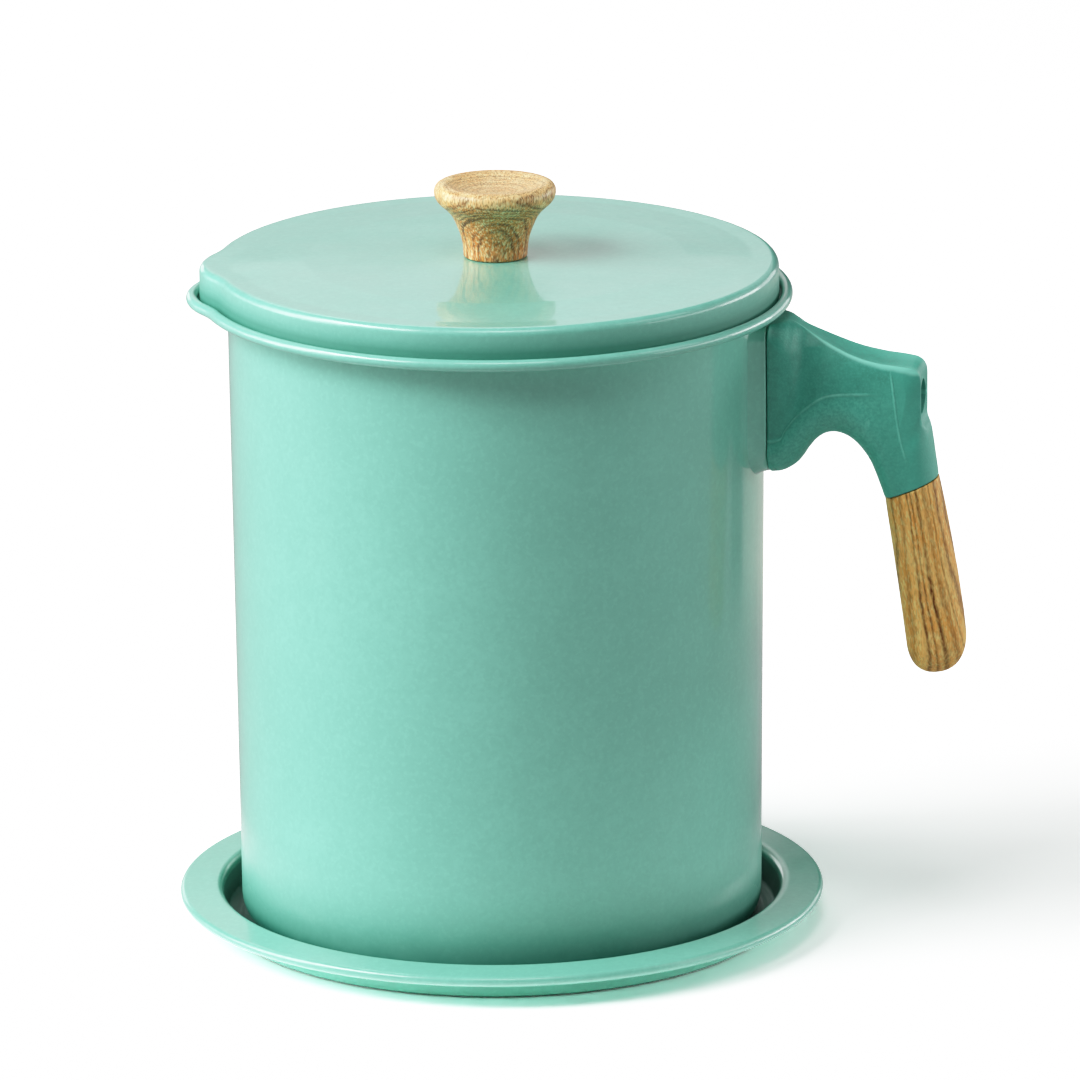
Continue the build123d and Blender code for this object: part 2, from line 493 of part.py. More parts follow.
# ---------------------------------------------------------------------------
# Handle grip: oval sleeve on the arm's tang, closed and rounded at its end
# ---------------------------------------------------------------------------
grip_edges = [
    Spline(*[side(p) for p in GRIP_OUT]),
    Spline(*[side(p) for p in GRIP_IN]),
    Line(side(JOINT_IN), side(JOINT_OUT)),
]
grip = extrude(make_face(grip_edges), amount=GRIP_HW, dir=(0, 1, 0), both=True)


def try_fillet(shape, edges, radii):
    """Largest of the listed radii that the edges take."""
    for rad in radii:
        try:
            out = fillet(edges, rad)
            if out.is_valid:
                return out
        except Exception:
            pass
    return shape


long_edges = [e for e in grip.edges() if abs(abs(e.center().Y) - GRIP_HW) < 0.01
              and e.center().Z < 100.0]
grip = try_fillet(grip, long_edges, (5.2, 4.6, 4.0, 3.2, 2.4, 1.5))
handle_grip = grip - socket

# the arm's outer part is rounded to run into the grip
outer_edges = [e for e in handle_arm.edges() if abs(abs(e.center().Y) - ARM_HW) < 0.35
               and e.center().X > 84.0 and e.length > 3.0]
handle_arm = try_fillet(handle_arm, outer_edges, (2.4, 1.8, 1.2, 0.8))

parts = {
    "tray": tray,
    "pot_body": pot_body,
    "handle_bracket": handle_bracket,
    "bracket_boss": bracket_boss,
    "handle_arm": handle_arm,
    "handle_grip": handle_grip,
    "handle_screw": handle_screw,
    "handle_washer": handle_washer,
    "lid": lid,
    "knob": knob,
    "knob_insert": knob_insert,
    "knob_screw": knob_screw,
    "knob_washer": knob_washer,
    "strainer_cup": strainer_cup,
    "strainer_mesh": strainer_mesh,
    "mesh_ring": mesh_ring,
}
for name, shape in parts.items():
    export_step(shape, "parts/" + name + ".step")
    print(name, round(shape.volume, 1))
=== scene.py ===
import math

import bmesh
import bpy
import numpy as np
from mathutils import Matrix, Vector


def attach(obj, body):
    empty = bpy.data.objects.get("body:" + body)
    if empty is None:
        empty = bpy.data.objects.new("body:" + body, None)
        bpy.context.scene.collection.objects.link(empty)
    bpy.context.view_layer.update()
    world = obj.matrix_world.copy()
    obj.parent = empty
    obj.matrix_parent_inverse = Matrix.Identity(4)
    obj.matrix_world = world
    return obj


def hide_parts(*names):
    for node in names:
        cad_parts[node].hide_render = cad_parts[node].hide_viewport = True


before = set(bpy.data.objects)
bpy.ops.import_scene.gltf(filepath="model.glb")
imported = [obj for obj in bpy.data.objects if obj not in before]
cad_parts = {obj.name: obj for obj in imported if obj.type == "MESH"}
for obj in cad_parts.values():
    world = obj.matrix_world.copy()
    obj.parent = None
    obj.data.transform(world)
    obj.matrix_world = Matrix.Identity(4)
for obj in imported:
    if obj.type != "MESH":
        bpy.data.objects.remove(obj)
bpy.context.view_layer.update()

MM = 0.001

# ---------------------------------------------------------------------------
# Sizes, in millimetres, the same as the CAD part's
# ---------------------------------------------------------------------------
NOSE_AZ = math.radians(192.0)
RIM_R, NOSE_TIP, NOSE_R, NOSE_BLEND = 64.85, 67.75, 24.0, 30.0
WALL_BOT, WALL_TOP = 58.72, 59.93
SEAM_X = 62.4


def wall_r(z):
    return WALL_BOT + (WALL_TOP - WALL_BOT) * (z - 15.0) / 128.0


# ---------------------------------------------------------------------------
# Small geometry kit
# ---------------------------------------------------------------------------
def rounded(pts, seg=8):
    """Polyline (x, y, corner radius) with its corners rounded."""
    out = []
    n = len(pts)
    for i, (x, y, r) in enumerate(pts):
        p = np.array([x, y], float)
        if i in (0, n - 1) or r <= 0:
            out.append(p)
            continue
        a = np.array(pts[i - 1][:2], float) - p
        b = np.array(pts[i + 1][:2], float) - p
        la, lb = np.linalg.norm(a), np.linalg.norm(b)
        a, b = a / la, b / lb
        half = math.acos(max(-1.0, min(1.0, float(a @ b)))) / 2
        if half > math.pi / 2 - 1e-4:
            out.append(p)
            continue
        d = min(r / math.tan(half), 0.499 * la, 0.499 * lb)
        rr = d * math.tan(half)
        m = (a + b) / np.linalg.norm(a + b)
        c = p + m * rr / math.sin(half)
        t1, t2 = p + a * d - c, p + b * d - c
        a1, a2 = math.atan2(t1[1], t1[0]), math.atan2(t2[1], t2[0])
        da = (a2 - a1 + math.pi) % (2 * math.pi) - math.pi
        for k in range(seg + 1):
            an = a1 + da * k / seg
            out.append(c + rr * np.array([math.cos(an), math.sin(an)]))
    return np.array(out)


def arc(cx, cy, r, a0, a1, n):
    t = np.radians(np.linspace(a0, a1, n))
    return np.stack([cx + r * np.cos(t), cy + r * np.sin(t)], 1)


def dense(path, near=0.6, step=6.0):
    """Adds points close to both ends of every long run, so that shading stays flat along it."""
    out = [path[0]]
    for p, q in zip(path[:-1], path[1:]):
        d = np.linalg.norm(q - p)
        if d > 2.5 * near:
            k = max(1, int(math.ceil((d - 2 * near) / step)))
            for t in np.linspace(near / d, 1 - near / d, k + 1):
                out.append(p + (q - p) * t)
        out.append(q)
    return np.array(out)


def stroke(path, t, cap=4, open_start=True):
    """Closed section of a sheet of thickness t whose middle follows path."""
    d = np.diff(path, axis=0)
    d /= np.linalg.norm(d, axis=1)[:, None]
    n = np.stack([-d[:, 1], d[:, 0]], 1)
    nv = np.empty_like(path)
    nv[0], nv[-1] = n[0], n[-1]
    m = n[:-1] + n[1:]
    m /= np.linalg.norm(m, axis=1)[:, None]
    c = np.clip((m * n[:-1]).sum(1), 0.4, 1)
    nv[1:-1] = m / c[:, None]
    A, B = path + nv * t / 2, path - nv * t / 2

    def half(centre, start, turn):
        a0 = math.atan2(*(start - centre)[::-1])
        return [centre + t / 2 * np.array([math.cos(a0 + turn * k), math.sin(a0 + turn * k)])
                for k in np.linspace(0, math.pi, cap + 2)[1:-1]]
    loop = list(A) + half(path[-1], A[-1], -1) + list(B[::-1])
    if not open_start:
        loop += half(path[0], B[0], -1)
    return np.array(loop)


def spline(pts, n=8):
    """Smooth line through 2D points (centripetal Catmull-Rom)."""
    P = np.array(pts, float)
    P = np.vstack([2 * P[0] - P[1], P, 2 * P[-1] - P[-2]])
    out = []
    for i in range(1, len(P) - 2):
        p0, p1, p2, p3 = P[i - 1:i + 3]
        t0 = 0.0
        t1 = t0 + max(np.linalg.norm(p1 - p0), 1e-6) ** 0.5
        t2 = t1 + max(np.linalg.norm(p2 - p1), 1e-6) ** 0.5
        t3 = t2 + max(np.linalg.norm(p3 - p2), 1e-6) ** 0.5
        for t in np.linspace(t1, t2, n, endpoint=False):
            A1 = (t1 - t) / (t1 - t0) * p0 + (t - t0) / (t1 - t0) * p1
            A2 = (t2 - t) / (t2 - t1) * p1 + (t - t1) / (t2 - t1) * p2
            A3 = (t3 - t) / (t3 - t2) * p2 + (t - t2) / (t3 - t2) * p3
            B1 = (t2 - t) / (t2 - t0) * A1 + (t - t0) / (t2 - t0) * A2
            B2 = (t3 - t) / (t3 - t1) * A2 + (t - t1) / (t3 - t1) * A3
            out.append((t2 - t) / (t2 - t1) * B1 + (t - t1) / (t2 - t1) * B2)
    out.append(P[-2])
    return np.array(out)


def pchip(x, y, xq):
    """Monotone cubic through (x, y), evaluated at xq."""
    x, y, xq = np.asarray(x, float), np.asarray(y, float), np.asarray(xq, float)
    h = np.diff(x)
    d = np.diff(y) / h
    m = np.zeros_like(y)
    for i in range(1, len(x) - 1):
        if d[i - 1] * d[i] > 0:
            w1, w2 = 2 * h[i] + h[i - 1], h[i] + 2 * h[i - 1]
            m[i] = (w1 + w2) / (w1 / d[i - 1] + w2 / d[i])
    m[0], m[-1] = d[0], d[-1]
    i = np.clip(np.searchsorted(x, xq) - 1, 0, len(x) - 2)
    t = (xq - x[i]) / h[i]
    h00, h10 = (1 + 2 * t) * (1 - t) ** 2, t * (1 - t) ** 2
    h01, h11 = t * t * (3 - 2 * t), t * t * (t - 1)
    return h00 * y[i] + h10 * h[i] * m[i] + h01 * y[i + 1] + h11 * h[i] * m[i + 1]


def lengths(P):
    return np.concatenate([[0], np.cumsum(np.linalg.norm(np.diff(P, axis=0), axis=1))])


def at_length(P, s):
    L = lengths(P)
    return np.stack([np.interp(s, L, P[:, k]) for k in range(P.shape[1])], -1)


def nearest_length(P, p):
    """Arc length along polyline P of the point closest to p."""
    L = lengths(P)
    s = np.linspace(0, L[-1], 4000)
    Q = at_length(P, s)
    return s[np.argmin(((Q - np.array(p)) ** 2).sum(1))]


def make_obj(name, verts, faces, sharp=32.0, merge=1e-7):
    me = bpy.data.meshes.new(name)
    me.from_pydata([tuple(v) for v in np.asarray(verts) * MM], [], faces)
    bm = bmesh.new()
    bm.from_mesh(me)
    bmesh.ops.remove_doubles(bm, verts=bm.verts, dist=merge)
    bmesh.ops.dissolve_degenerate(bm, dist=1e-8, edges=bm.edges)
    bmesh.ops.recalc_face_normals(bm, faces=bm.faces)
    bm.to_mesh(me)
    bm.free()
    me.validate()
    me.update()
    for p in me.polygons:
        p.use_smooth = True
    me.set_sharp_from_angle(angle=math.radians(sharp))
    ob = bpy.data.objects.new(name, me)
    bpy.context.scene.collection.objects.link(ob)
    return ob


def grid_faces(nu, nv, closed_u, closed_v, base=0):
    f = []
    for i in range(nu if closed_u else nu - 1):
        i2 = (i + 1) % nu
        for j in range(nv if closed_v else nv - 1):
            j2 = (j + 1) % nv
            f.append((base + i * nv + j, base + i2 * nv + j, base + i2 * nv + j2, base + i * nv + j2))
    return f


def lathe(name, loop, n=320, closed=False, sharp=32.0):
    """Turns a section (r, z) about Z. closed: the section is a ring that doesn't touch the axis."""
    t = np.linspace(0, 2 * math.pi, n, endpoint=False)
    r, z = loop[:, 0], loop[:, 1]
    V = np.empty((n, len(loop), 3))
    V[..., 0] = np.cos(t)[:, None] * r
    V[..., 1] = np.sin(t)[:, None] * r
    V[..., 2] = z
    return make_obj(name, V.reshape(-1, 3), grid_faces(n, len(loop), True, closed), sharp)


# Plan line of the rim: four tangent arcs, with its outward normals
NOSE_D = NOSE_TIP - NOSE_R
_ob, _nb = RIM_R + NOSE_BLEND, NOSE_R + NOSE_BLEND
NOSE_A = math.acos((_ob ** 2 + NOSE_D ** 2 - _nb ** 2) / (2 * NOSE_D * _ob))
BC = np.array([_ob * math.cos(NOSE_A), _ob * math.sin(NOSE_A)])
NOSE_G = math.atan2(BC[1], BC[0] - NOSE_D)


def plan_line():
    P, N = [], []

    def add(cx, cy, r, a0, a1, n, sign):
        for a in np.linspace(a0, a1, n, endpoint=False):
            P.append((cx + r * math.cos(a), cy + r * math.sin(a)))
            N.append((sign * math.cos(a), sign * math.sin(a)))
    add(0, 0, RIM_R, NOSE_A, 2 * math.pi - NOSE_A, 420, 1)
    add(BC[0], -BC[1], NOSE_BLEND, math.pi - NOSE_A, math.pi - NOSE_G, 16, -1)
    add(NOSE_D, 0, NOSE_R, -NOSE_G, NOSE_G, 30, 1)
    add(BC[0], BC[1], NOSE_BLEND, math.pi + NOSE_G, math.pi + NOSE_A, 16, -1)
    c, s = math.cos(NOSE_AZ), math.sin(NOSE_AZ)
    R = np.array([[c, -s], [s, c]])
    return np.array(P) @ R.T, np.array(N) @ R.T


PLAN_P, PLAN_N = plan_line()
PLAN_DIR = PLAN_P / np.linalg.norm(PLAN_P, axis=1)[:, None]


def plan_map_pot(r, z):
    """Round up to the wall, then following the rim's outline."""
    r_w, r_b = 60.2, RIM_R - 2.3
    if r <= r_w:
        xy = PLAN_DIR * r
    elif r >= r_b:
        xy = PLAN_P + PLAN_N * (r - RIM_R)
    else:
        t = (r - r_w) / (r_b - r_w)
        xy = (1 - t) * PLAN_DIR * r_w + t * (PLAN_P + PLAN_N * (r_b - RIM_R))
    return np.column_stack([xy, np.full(len(xy), z)])


def plan_map_lid(r, z):
    """Follows the rim's outline near the edge, and shrinks to a point in the middle."""
    r_b = RIM_R - 6.0
    if r >= r_b:
        xy = PLAN_P + PLAN_N * (r - RIM_R)
    else:
        E = PLAN_P + PLAN_N * (r_b - RIM_R)
        t = r / r_b
        w = (max(0.0, (t - 0.55) / 0.45)) ** 1.5       # rounder towards the middle
        xy = (w * E + (1 - w) * PLAN_DIR * r_b) * t
    return np.column_stack([xy, np.full(len(xy), z)])


def plan_sweep(name, loop, fn, closed=False, sharp=32.0):
    rings = [fn(r, z) for r, z in loop]                # each (nu, 3)
    V = np.stack(rings, 1)                             # (nu, nv, 3)
    return make_obj(name, V.reshape(-1, 3), grid_faces(V.shape[0], V.shape[1], True, closed), sharp)


# ---------------------------------------------------------------------------
# Materials
# ---------------------------------------------------------------------------
class Mat:
    def __init__(self, name):
        self.m = bpy.data.materials.new(name)
        self.m.use_nodes = True
        self.nt = self.m.node_tree
        self.nt.nodes.clear()
        self.out = self.nt.nodes.new("ShaderNodeOutputMaterial")
        self.b = self.nt.nodes.new("ShaderNodeBsdfPrincipled")
        self.nt.links.new(self.b.outputs[0], self.out.inputs[0])
        self.tc = self.nt.nodes.new("ShaderNodeTexCoord")

    def n(self, kind, **kw):
        x = self.nt.nodes.new("ShaderNode" + kind)
        for k, v in kw.items():
            setattr(x, k, v)
        return x

    def link(self, a, b):
        self.nt.links.new(a, b)

    def set(self, **kw):
        for k, v in kw.items():
            self.b.inputs[k.replace("_", " ")].default_value = v

    def mapping(self, scale=(1, 1, 1), rot=(0, 0, 0), loc=(0, 0, 0), src=None):
        mp = self.n("Mapping")
        mp.inputs["Scale"].default_value = scale
        mp.inputs["Rotation"].default_value = rot
        mp.inputs["Location"].default_value = loc
        self.link(src or self.tc.outputs["Object"], mp.inputs["Vector"])
        return mp.outputs[0]

    def noise(self, vec, scale, detail=4.0, rough=0.55, dist=0.0):
        x = self.n("TexNoise")
        x.inputs["Scale"].default_value = scale
        x.inputs["Detail"].default_value = detail
        x.inputs["Roughness"].default_value = rough
        x.inputs["Distortion"].default_value = dist
        self.link(vec, x.inputs["Vector"])
        return x.outputs["Fac"]

    def ramp(self, fac, stops, interp="LINEAR"):
        x = self.n("ValToRGB")
        cr = x.color_ramp
        cr.interpolation = interp
        while len(cr.elements) < len(stops):
            cr.elements.new(0.5)
        for e, (p, c) in zip(cr.elements, stops):
            e.position = p
            e.color = c if len(c) == 4 else (*c, 1)
        self.link(fac, x.inputs[0])
        return x.outputs[0]

    def maprange(self, fac, a, b, c, d, clamp=True):
        x = self.n("MapRange", clamp=clamp)
        for i, v in zip((1, 2, 3, 4), (a, b, c, d)):
            x.inputs[i].default_value = v
        self.link(fac, x.inputs[0])
        return x.outputs[0]

    def mix(self, fac, a, b, mode="MIX"):
        x = self.n("Mix", data_type="RGBA", blend_type=mode)
        if isinstance(fac, (int, float)):
            x.inputs[0].default_value = fac
        else:
            self.link(fac, x.inputs[0])
        for sock, v in ((x.inputs[6], a), (x.inputs[7], b)):
            if isinstance(v, tuple):
                sock.default_value = v if len(v) == 4 else (*v, 1)
            else:
                self.link(v, sock)
        return x.outputs[2]

    def math(self, op, a, b=0.0):
        x = self.n("Math", operation=op)
        for sock, v in ((x.inputs[0], a), (x.inputs[1], b)):
            if isinstance(v, (int, float)):
                sock.default_value = v
            else:
                self.link(v, sock)
        return x.outputs[0]

    def bump(self, height, strength, distance, normal=None):
        x = self.n("Bump")
        x.inputs["Strength"].default_value = strength
        x.inputs["Distance"].default_value = distance
        self.link(height, x.inputs["Height"])
        if normal is not None:
            self.link(normal, x.inputs["Normal"])
        return x.outputs[0]


def enamel(name, base=(0.196, 0.590, 0.466), rough=0.34, coat_rough=0.055, coat=1.0, foot=None, well=None):
    """Glossy sprayed enamel: slight tone drift, fine orange peel, thin at sharp edges, and painted shade, darker and
    duller, low on the wall and in the tray's well.
    """
    M = Mat(name)
    v = M.mapping()
    drift = M.noise(v, 22.0, 3.0)
    dark = tuple(c * 0.955 for c in base)
    light = tuple(min(1, c * 1.04 + 0.004) for c in base)
    col = M.ramp(drift, [(0.3, dark), (0.7, light)])
    cloud = M.noise(v, 110.0, 4.0, 0.62)
    col = M.mix(M.maprange(cloud, 0.36, 0.62, 0.0, 0.40), col, tuple(c * 0.90 for c in base))
    fine = M.noise(v, 620.0, 4.0, 0.68)
    col = M.mix(M.maprange(fine, 0.42, 0.62, 0.0, 0.42), col, tuple(c * 0.86 for c in base))
    spray = M.noise(v, 900.0, 2.0, 0.6)
    col = M.mix(M.maprange(spray, 0.52, 0.66, 0.0, 0.40), col, tuple(min(1, c * 1.09 + 0.012) for c in base))
    # a few fine specks in the paint
    vor = M.n("TexVoronoi", feature="F1")
    vor.inputs["Scale"].default_value = 62.0
    M.link(v, vor.inputs["Vector"])
    speck = M.maprange(vor.outputs["Distance"], 0.012, 0.028, 1.0, 0.0)
    pick = M.maprange(M.noise(v, 37.0, 1.0), 0.60, 0.66, 0.0, 0.55)
    col = M.mix(M.math("MULTIPLY", speck, pick), col, tuple(c * 0.55 for c in base))
    # paint draws thin over pressed edges
    geo = M.n("NewGeometry")
    edge = M.maprange(geo.outputs["Pointiness"], 0.545, 0.60, 0.0, 0.35)
    edge = M.math("MULTIPLY", edge, M.maprange(M.noise(v, 160.0, 4.0), 0.42, 0.62, 0.15, 1.0))
    col = M.mix(edge, col, tuple(min(1, c * 1.12 + 0.045) for c in base))
    coat_rough_out = M.maprange(M.noise(v, 130.0, 3.0), 0.35, 0.7, coat_rough * 0.8, coat_rough * 1.6)
    painted_shade = None
    if foot:                                             # painted shade low down on the wall: darker, duller and with less coat towards the bottom
        xyz = M.n("SeparateXYZ")
        M.link(v, xyz.inputs[0])
        low = M.math("ADD", xyz.outputs[2], M.math("MULTIPLY", M.math("SUBTRACT", cloud, 0.5), foot[3]))
        painted_shade = M.maprange(low, foot[0], foot[1], 1.0, 0.0)
        deep = M.math("POWER", painted_shade, 1.6)
        col = M.mix(M.math("MULTIPLY", deep, foot[2]), col, (base[0] * 0.08, base[1] * 0.32, base[2] * 0.28))
    if well:                                             # painted shade inside the tray's well, where the pot shades it
        xyz = M.n("SeparateXYZ")
        M.link(v, xyz.inputs[0])
        flat = M.n("VectorMath", operation="MULTIPLY")
        M.link(v, flat.inputs[0])
        flat.inputs[1].default_value = (1.0, 1.0, 0.0)
        ln = M.n("VectorMath", operation="LENGTH")
        M.link(flat.outputs[0], ln.inputs[0])
        inner = M.math("SUBTRACT", ln.outputs["Value"], M.math("MULTIPLY", xyz.outputs[2], 0.143))
        inside = M.maprange(inner, 0.06245, 0.06262, 1.0, 0.0)
        inside = M.math("MULTIPLY", inside, M.maprange(xyz.outputs[2], 0.00600, 0.00760, 1.0, 0.0))
        painted_shade = M.math("MULTIPLY", inside, well)
        col = M.mix(painted_shade, col, tuple(c * 0.12 for c in base))
    M.link(col, M.b.inputs["Base Color"])
    rough_out = M.maprange(M.noise(v, 75.0, 4.0), 0.3, 0.7, rough - 0.045, rough + 0.055)
    M.set(Coat_Weight=coat, Coat_IOR=1.48, IOR=1.5)
    if painted_shade is not None:
        rough_out = M.math("ADD", rough_out, M.math("MULTIPLY", painted_shade, 0.22))
        coat_rough_out = M.math("ADD", coat_rough_out, M.math("MULTIPLY", painted_shade, 0.30))
        M.link(M.maprange(painted_shade, 0.0, 0.7, coat, coat * 0.15), M.b.inputs["Coat Weight"])
    M.link(rough_out, M.b.inputs["Roughness"])
    M.link(coat_rough_out, M.b.inputs["Coat Roughness"])
    h1 = M.bump(M.noise(v, 680.0, 2.0, 0.5), 0.06, 0.00012)
    h2 = M.bump(M.noise(v, 26.0, 2.0, 0.4), 0.06, 0.0016, h1)
    M.link(h2, M.b.inputs["Normal"])
    M.link(h2, M.b.inputs["Coat Normal"])
    return M.m


def moulded(name, base=(0.050, 0.335, 0.250)):
    """Finely textured moulded phenolic with thin raised mould lines, with painted highlights along its ridges, top
    crest, thumb rest and upper edges, and painted light below the arch ridge and on the back face.
    """
    M = Mat(name)
    v = M.mapping()
    xyz = M.n("SeparateXYZ")
    M.link(M.mapping(scale=(1000.0, 1000.0, 1000.0)), xyz.inputs[0])
    X, Y, Z = xyz.outputs[0], xyz.outputs[1], xyz.outputs[2]

    def curve(src, lo, hi, out_lo, out_hi, pts):
        """Piecewise smooth line: pts are (position, value) in millimetres."""
        f = M.n("FloatCurve")
        c = f.mapping.curves[0]
        q = [((p - lo) / (hi - lo), (w - out_lo) / (out_hi - out_lo)) for p, w in pts]
        while len(c.points) < len(q):
            c.points.new(0.5, 0.5)
        for pt, w in zip(c.points, q):
            pt.location = w
        f.mapping.use_clip = True
        f.mapping.update()
        M.link(M.maprange(src, lo, hi, 0.0, 1.0), f.inputs["Value"])
        return M.maprange(f.outputs[0], 0.0, 1.0, out_lo, out_hi)

    arch = curve(X, 62.0, 90.0, 112.0, 128.0, [(62.0, 115.5), (65.25, 115.9), (66.4, 117.8), (68.0, 120.1),
                                              (69.9, 122.1), (72.1, 123.8), (74.3, 125.1), (76.5, 125.75),
                                              (80.4, 126.1), (83.1, 126.2), (90.0, 126.5)])
    post = curve(Z, 110.0, 134.0, 88.0, 95.0, [(110.0, 93.5), (113.1, 92.75), (115.4, 92.1), (119.6, 91.3),
                                              (122.5, 90.9), (125.9, 90.5), (128.2, 90.2), (131.3, 89.8),
                                              (134.0, 89.6)])
    brow = curve(X, 64.0, 96.0, 1.0, 7.0, [(64.0, 5.0), (66.0, 3.6), (67.6, 1.9), (70.5, 2.5), (74.0, 3.8), (78.0, 4.9),
                                           (82.0, 5.7), (86.0, 6.2), (90.0, 6.3), (93.0, 6.2), (96.0, 5.5)])
    rim = M.math("SUBTRACT", M.math("ABSOLUTE", Y), brow)
    on_top = M.math("MULTIPLY", M.maprange(Z, 130.4, 131.4, 0.0, 1.0), M.maprange(X, 66.5, 69.0, 0.0, 1.0))
    # painted highlight: a bright line along the top crest of the thumb rest
    line_c = M.math("MULTIPLY", M.maprange(M.math("ABSOLUTE", rim), 0.04, 0.34, 1.0, 0.0), on_top)
    # painted highlight: a lighter band along the near edge of the thumb rest, stronger towards the grip
    lip = M.math("MULTIPLY", M.maprange(rim, -4.5, 0.1, 0.0, 1.0), M.maprange(rim, 0.1, 0.3, 1.0, 0.0))
    lip = M.math("MULTIPLY", M.math("MULTIPLY", lip, on_top), M.maprange(X, 68.0, 94.0, 0.35, 1.0))
    over = M.math("SUBTRACT", Z, arch)
    past = M.math("SUBTRACT", X, post)
    on_side = M.maprange(M.math("ABSOLUTE", Y), 4.0, 5.0, 0.0, 1.0)
    left = M.maprange(X, 82.0, 88.0, 1.0, 0.0)
    # ridge lines: raised by bump, and coloured lighter as a painted highlight along them
    line_a = M.math("MULTIPLY", M.maprange(M.math("ABSOLUTE", over), 0.10, 0.42, 1.0, 0.0), left)
    line_b = M.maprange(M.math("ABSOLUTE", past), 0.10, 0.36, 1.0, 0.0)
    line_b = M.math("MULTIPLY", line_b, M.maprange(Z, 111.0, 113.5, 0.0, 1.0))
    line_b = M.math("MULTIPLY", line_b, M.maprange(Z, 130.5, 132.0, 1.0, 0.0))
    lines = M.math("MULTIPLY", M.math("MAXIMUM", line_a, line_b), on_side)
    # painted light below the arch ridge, weaker towards the grip
    under = M.math("MULTIPLY", M.maprange(over, -1.6, 0.0, 1.0, 0.0), M.maprange(X, 84.0, 90.0, 1.0, 0.3))
    # painted light on the back face past the vertical ridge
    beyond = M.maprange(past, -0.2, 1.2, 0.0, 1.0)

    grain = M.noise(v, 1900.0, 3.0, 0.62)
    blot = M.noise(v, 420.0, 4.0, 0.6)
    wide = M.noise(v, 55.0, 2.0)
    col = M.ramp(blot, [(0.32, tuple(c * 0.88 for c in base)), (0.5, base),
                        (0.70, tuple(c * 1.14 + 0.004 for c in base))])
    col = M.mix(M.maprange(wide, 0.3, 0.7, 0.0, 0.30), col, tuple(c * 1.10 + 0.003 for c in base))
    col = M.mix(M.maprange(grain, 0.47, 0.66, 0.0, 0.40), col, tuple(c * 1.45 + 0.018 for c in base))
    # painted light past the vertical ridge
    col = M.mix(M.math("MULTIPLY", beyond, 0.55), col, tuple(c * 1.20 + 0.006 for c in base))
    # painted light below the arch ridge, broken up by coarse speckle
    lit_speckle = M.maprange(M.noise(v, 1500.0, 3.0, 0.65), 0.40, 0.62, 0.25, 0.85)
    col = M.mix(M.math("MULTIPLY", under, lit_speckle), col, tuple(c * 1.52 + 0.028 for c in base))
    # painted highlight along the ridge lines
    col = M.mix(M.math("MULTIPLY", lines, M.maprange(M.noise(v, 500.0, 3.0), 0.35, 0.60, 0.35, 0.85)), col,
                tuple(c * 1.6 + 0.060 for c in base))
    # painted highlight on the thumb rest
    col = M.mix(M.math("MULTIPLY", lip, 0.62), col, tuple(c * 1.6 + 0.115 for c in base))
    # painted highlight on the top crest
    col = M.mix(M.math("MULTIPLY", line_c, 0.80), col, tuple(c * 1.9 + 0.160 for c in base))
    geo = M.n("NewGeometry")
    # painted highlight on convex edges above Z 117, taken from pointiness
    edge = M.maprange(geo.outputs["Pointiness"], 0.515, 0.575, 0.0, 0.75)
    edge = M.math("MULTIPLY", edge, M.maprange(M.noise(v, 260.0, 4.0), 0.36, 0.60, 0.45, 1.0))
    edge = M.math("MULTIPLY", edge, M.maprange(Z, 117.0, 121.0, 0.0, 1.0))
    col = M.mix(edge, col, tuple(c * 1.7 + 0.07 for c in base))
    M.link(col, M.b.inputs["Base Color"])
    M.link(M.maprange(grain, 0.3, 0.7, 0.36, 0.54), M.b.inputs["Roughness"])
    M.set(IOR=1.5)
    b1 = M.bump(grain, 0.30, 0.00018)
    b2 = M.bump(blot, 0.14, 0.0003, b1)
    b3 = M.bump(lines, 0.55, 0.00022, b2)
    M.link(b3, M.b.inputs["Normal"])
    return M.m


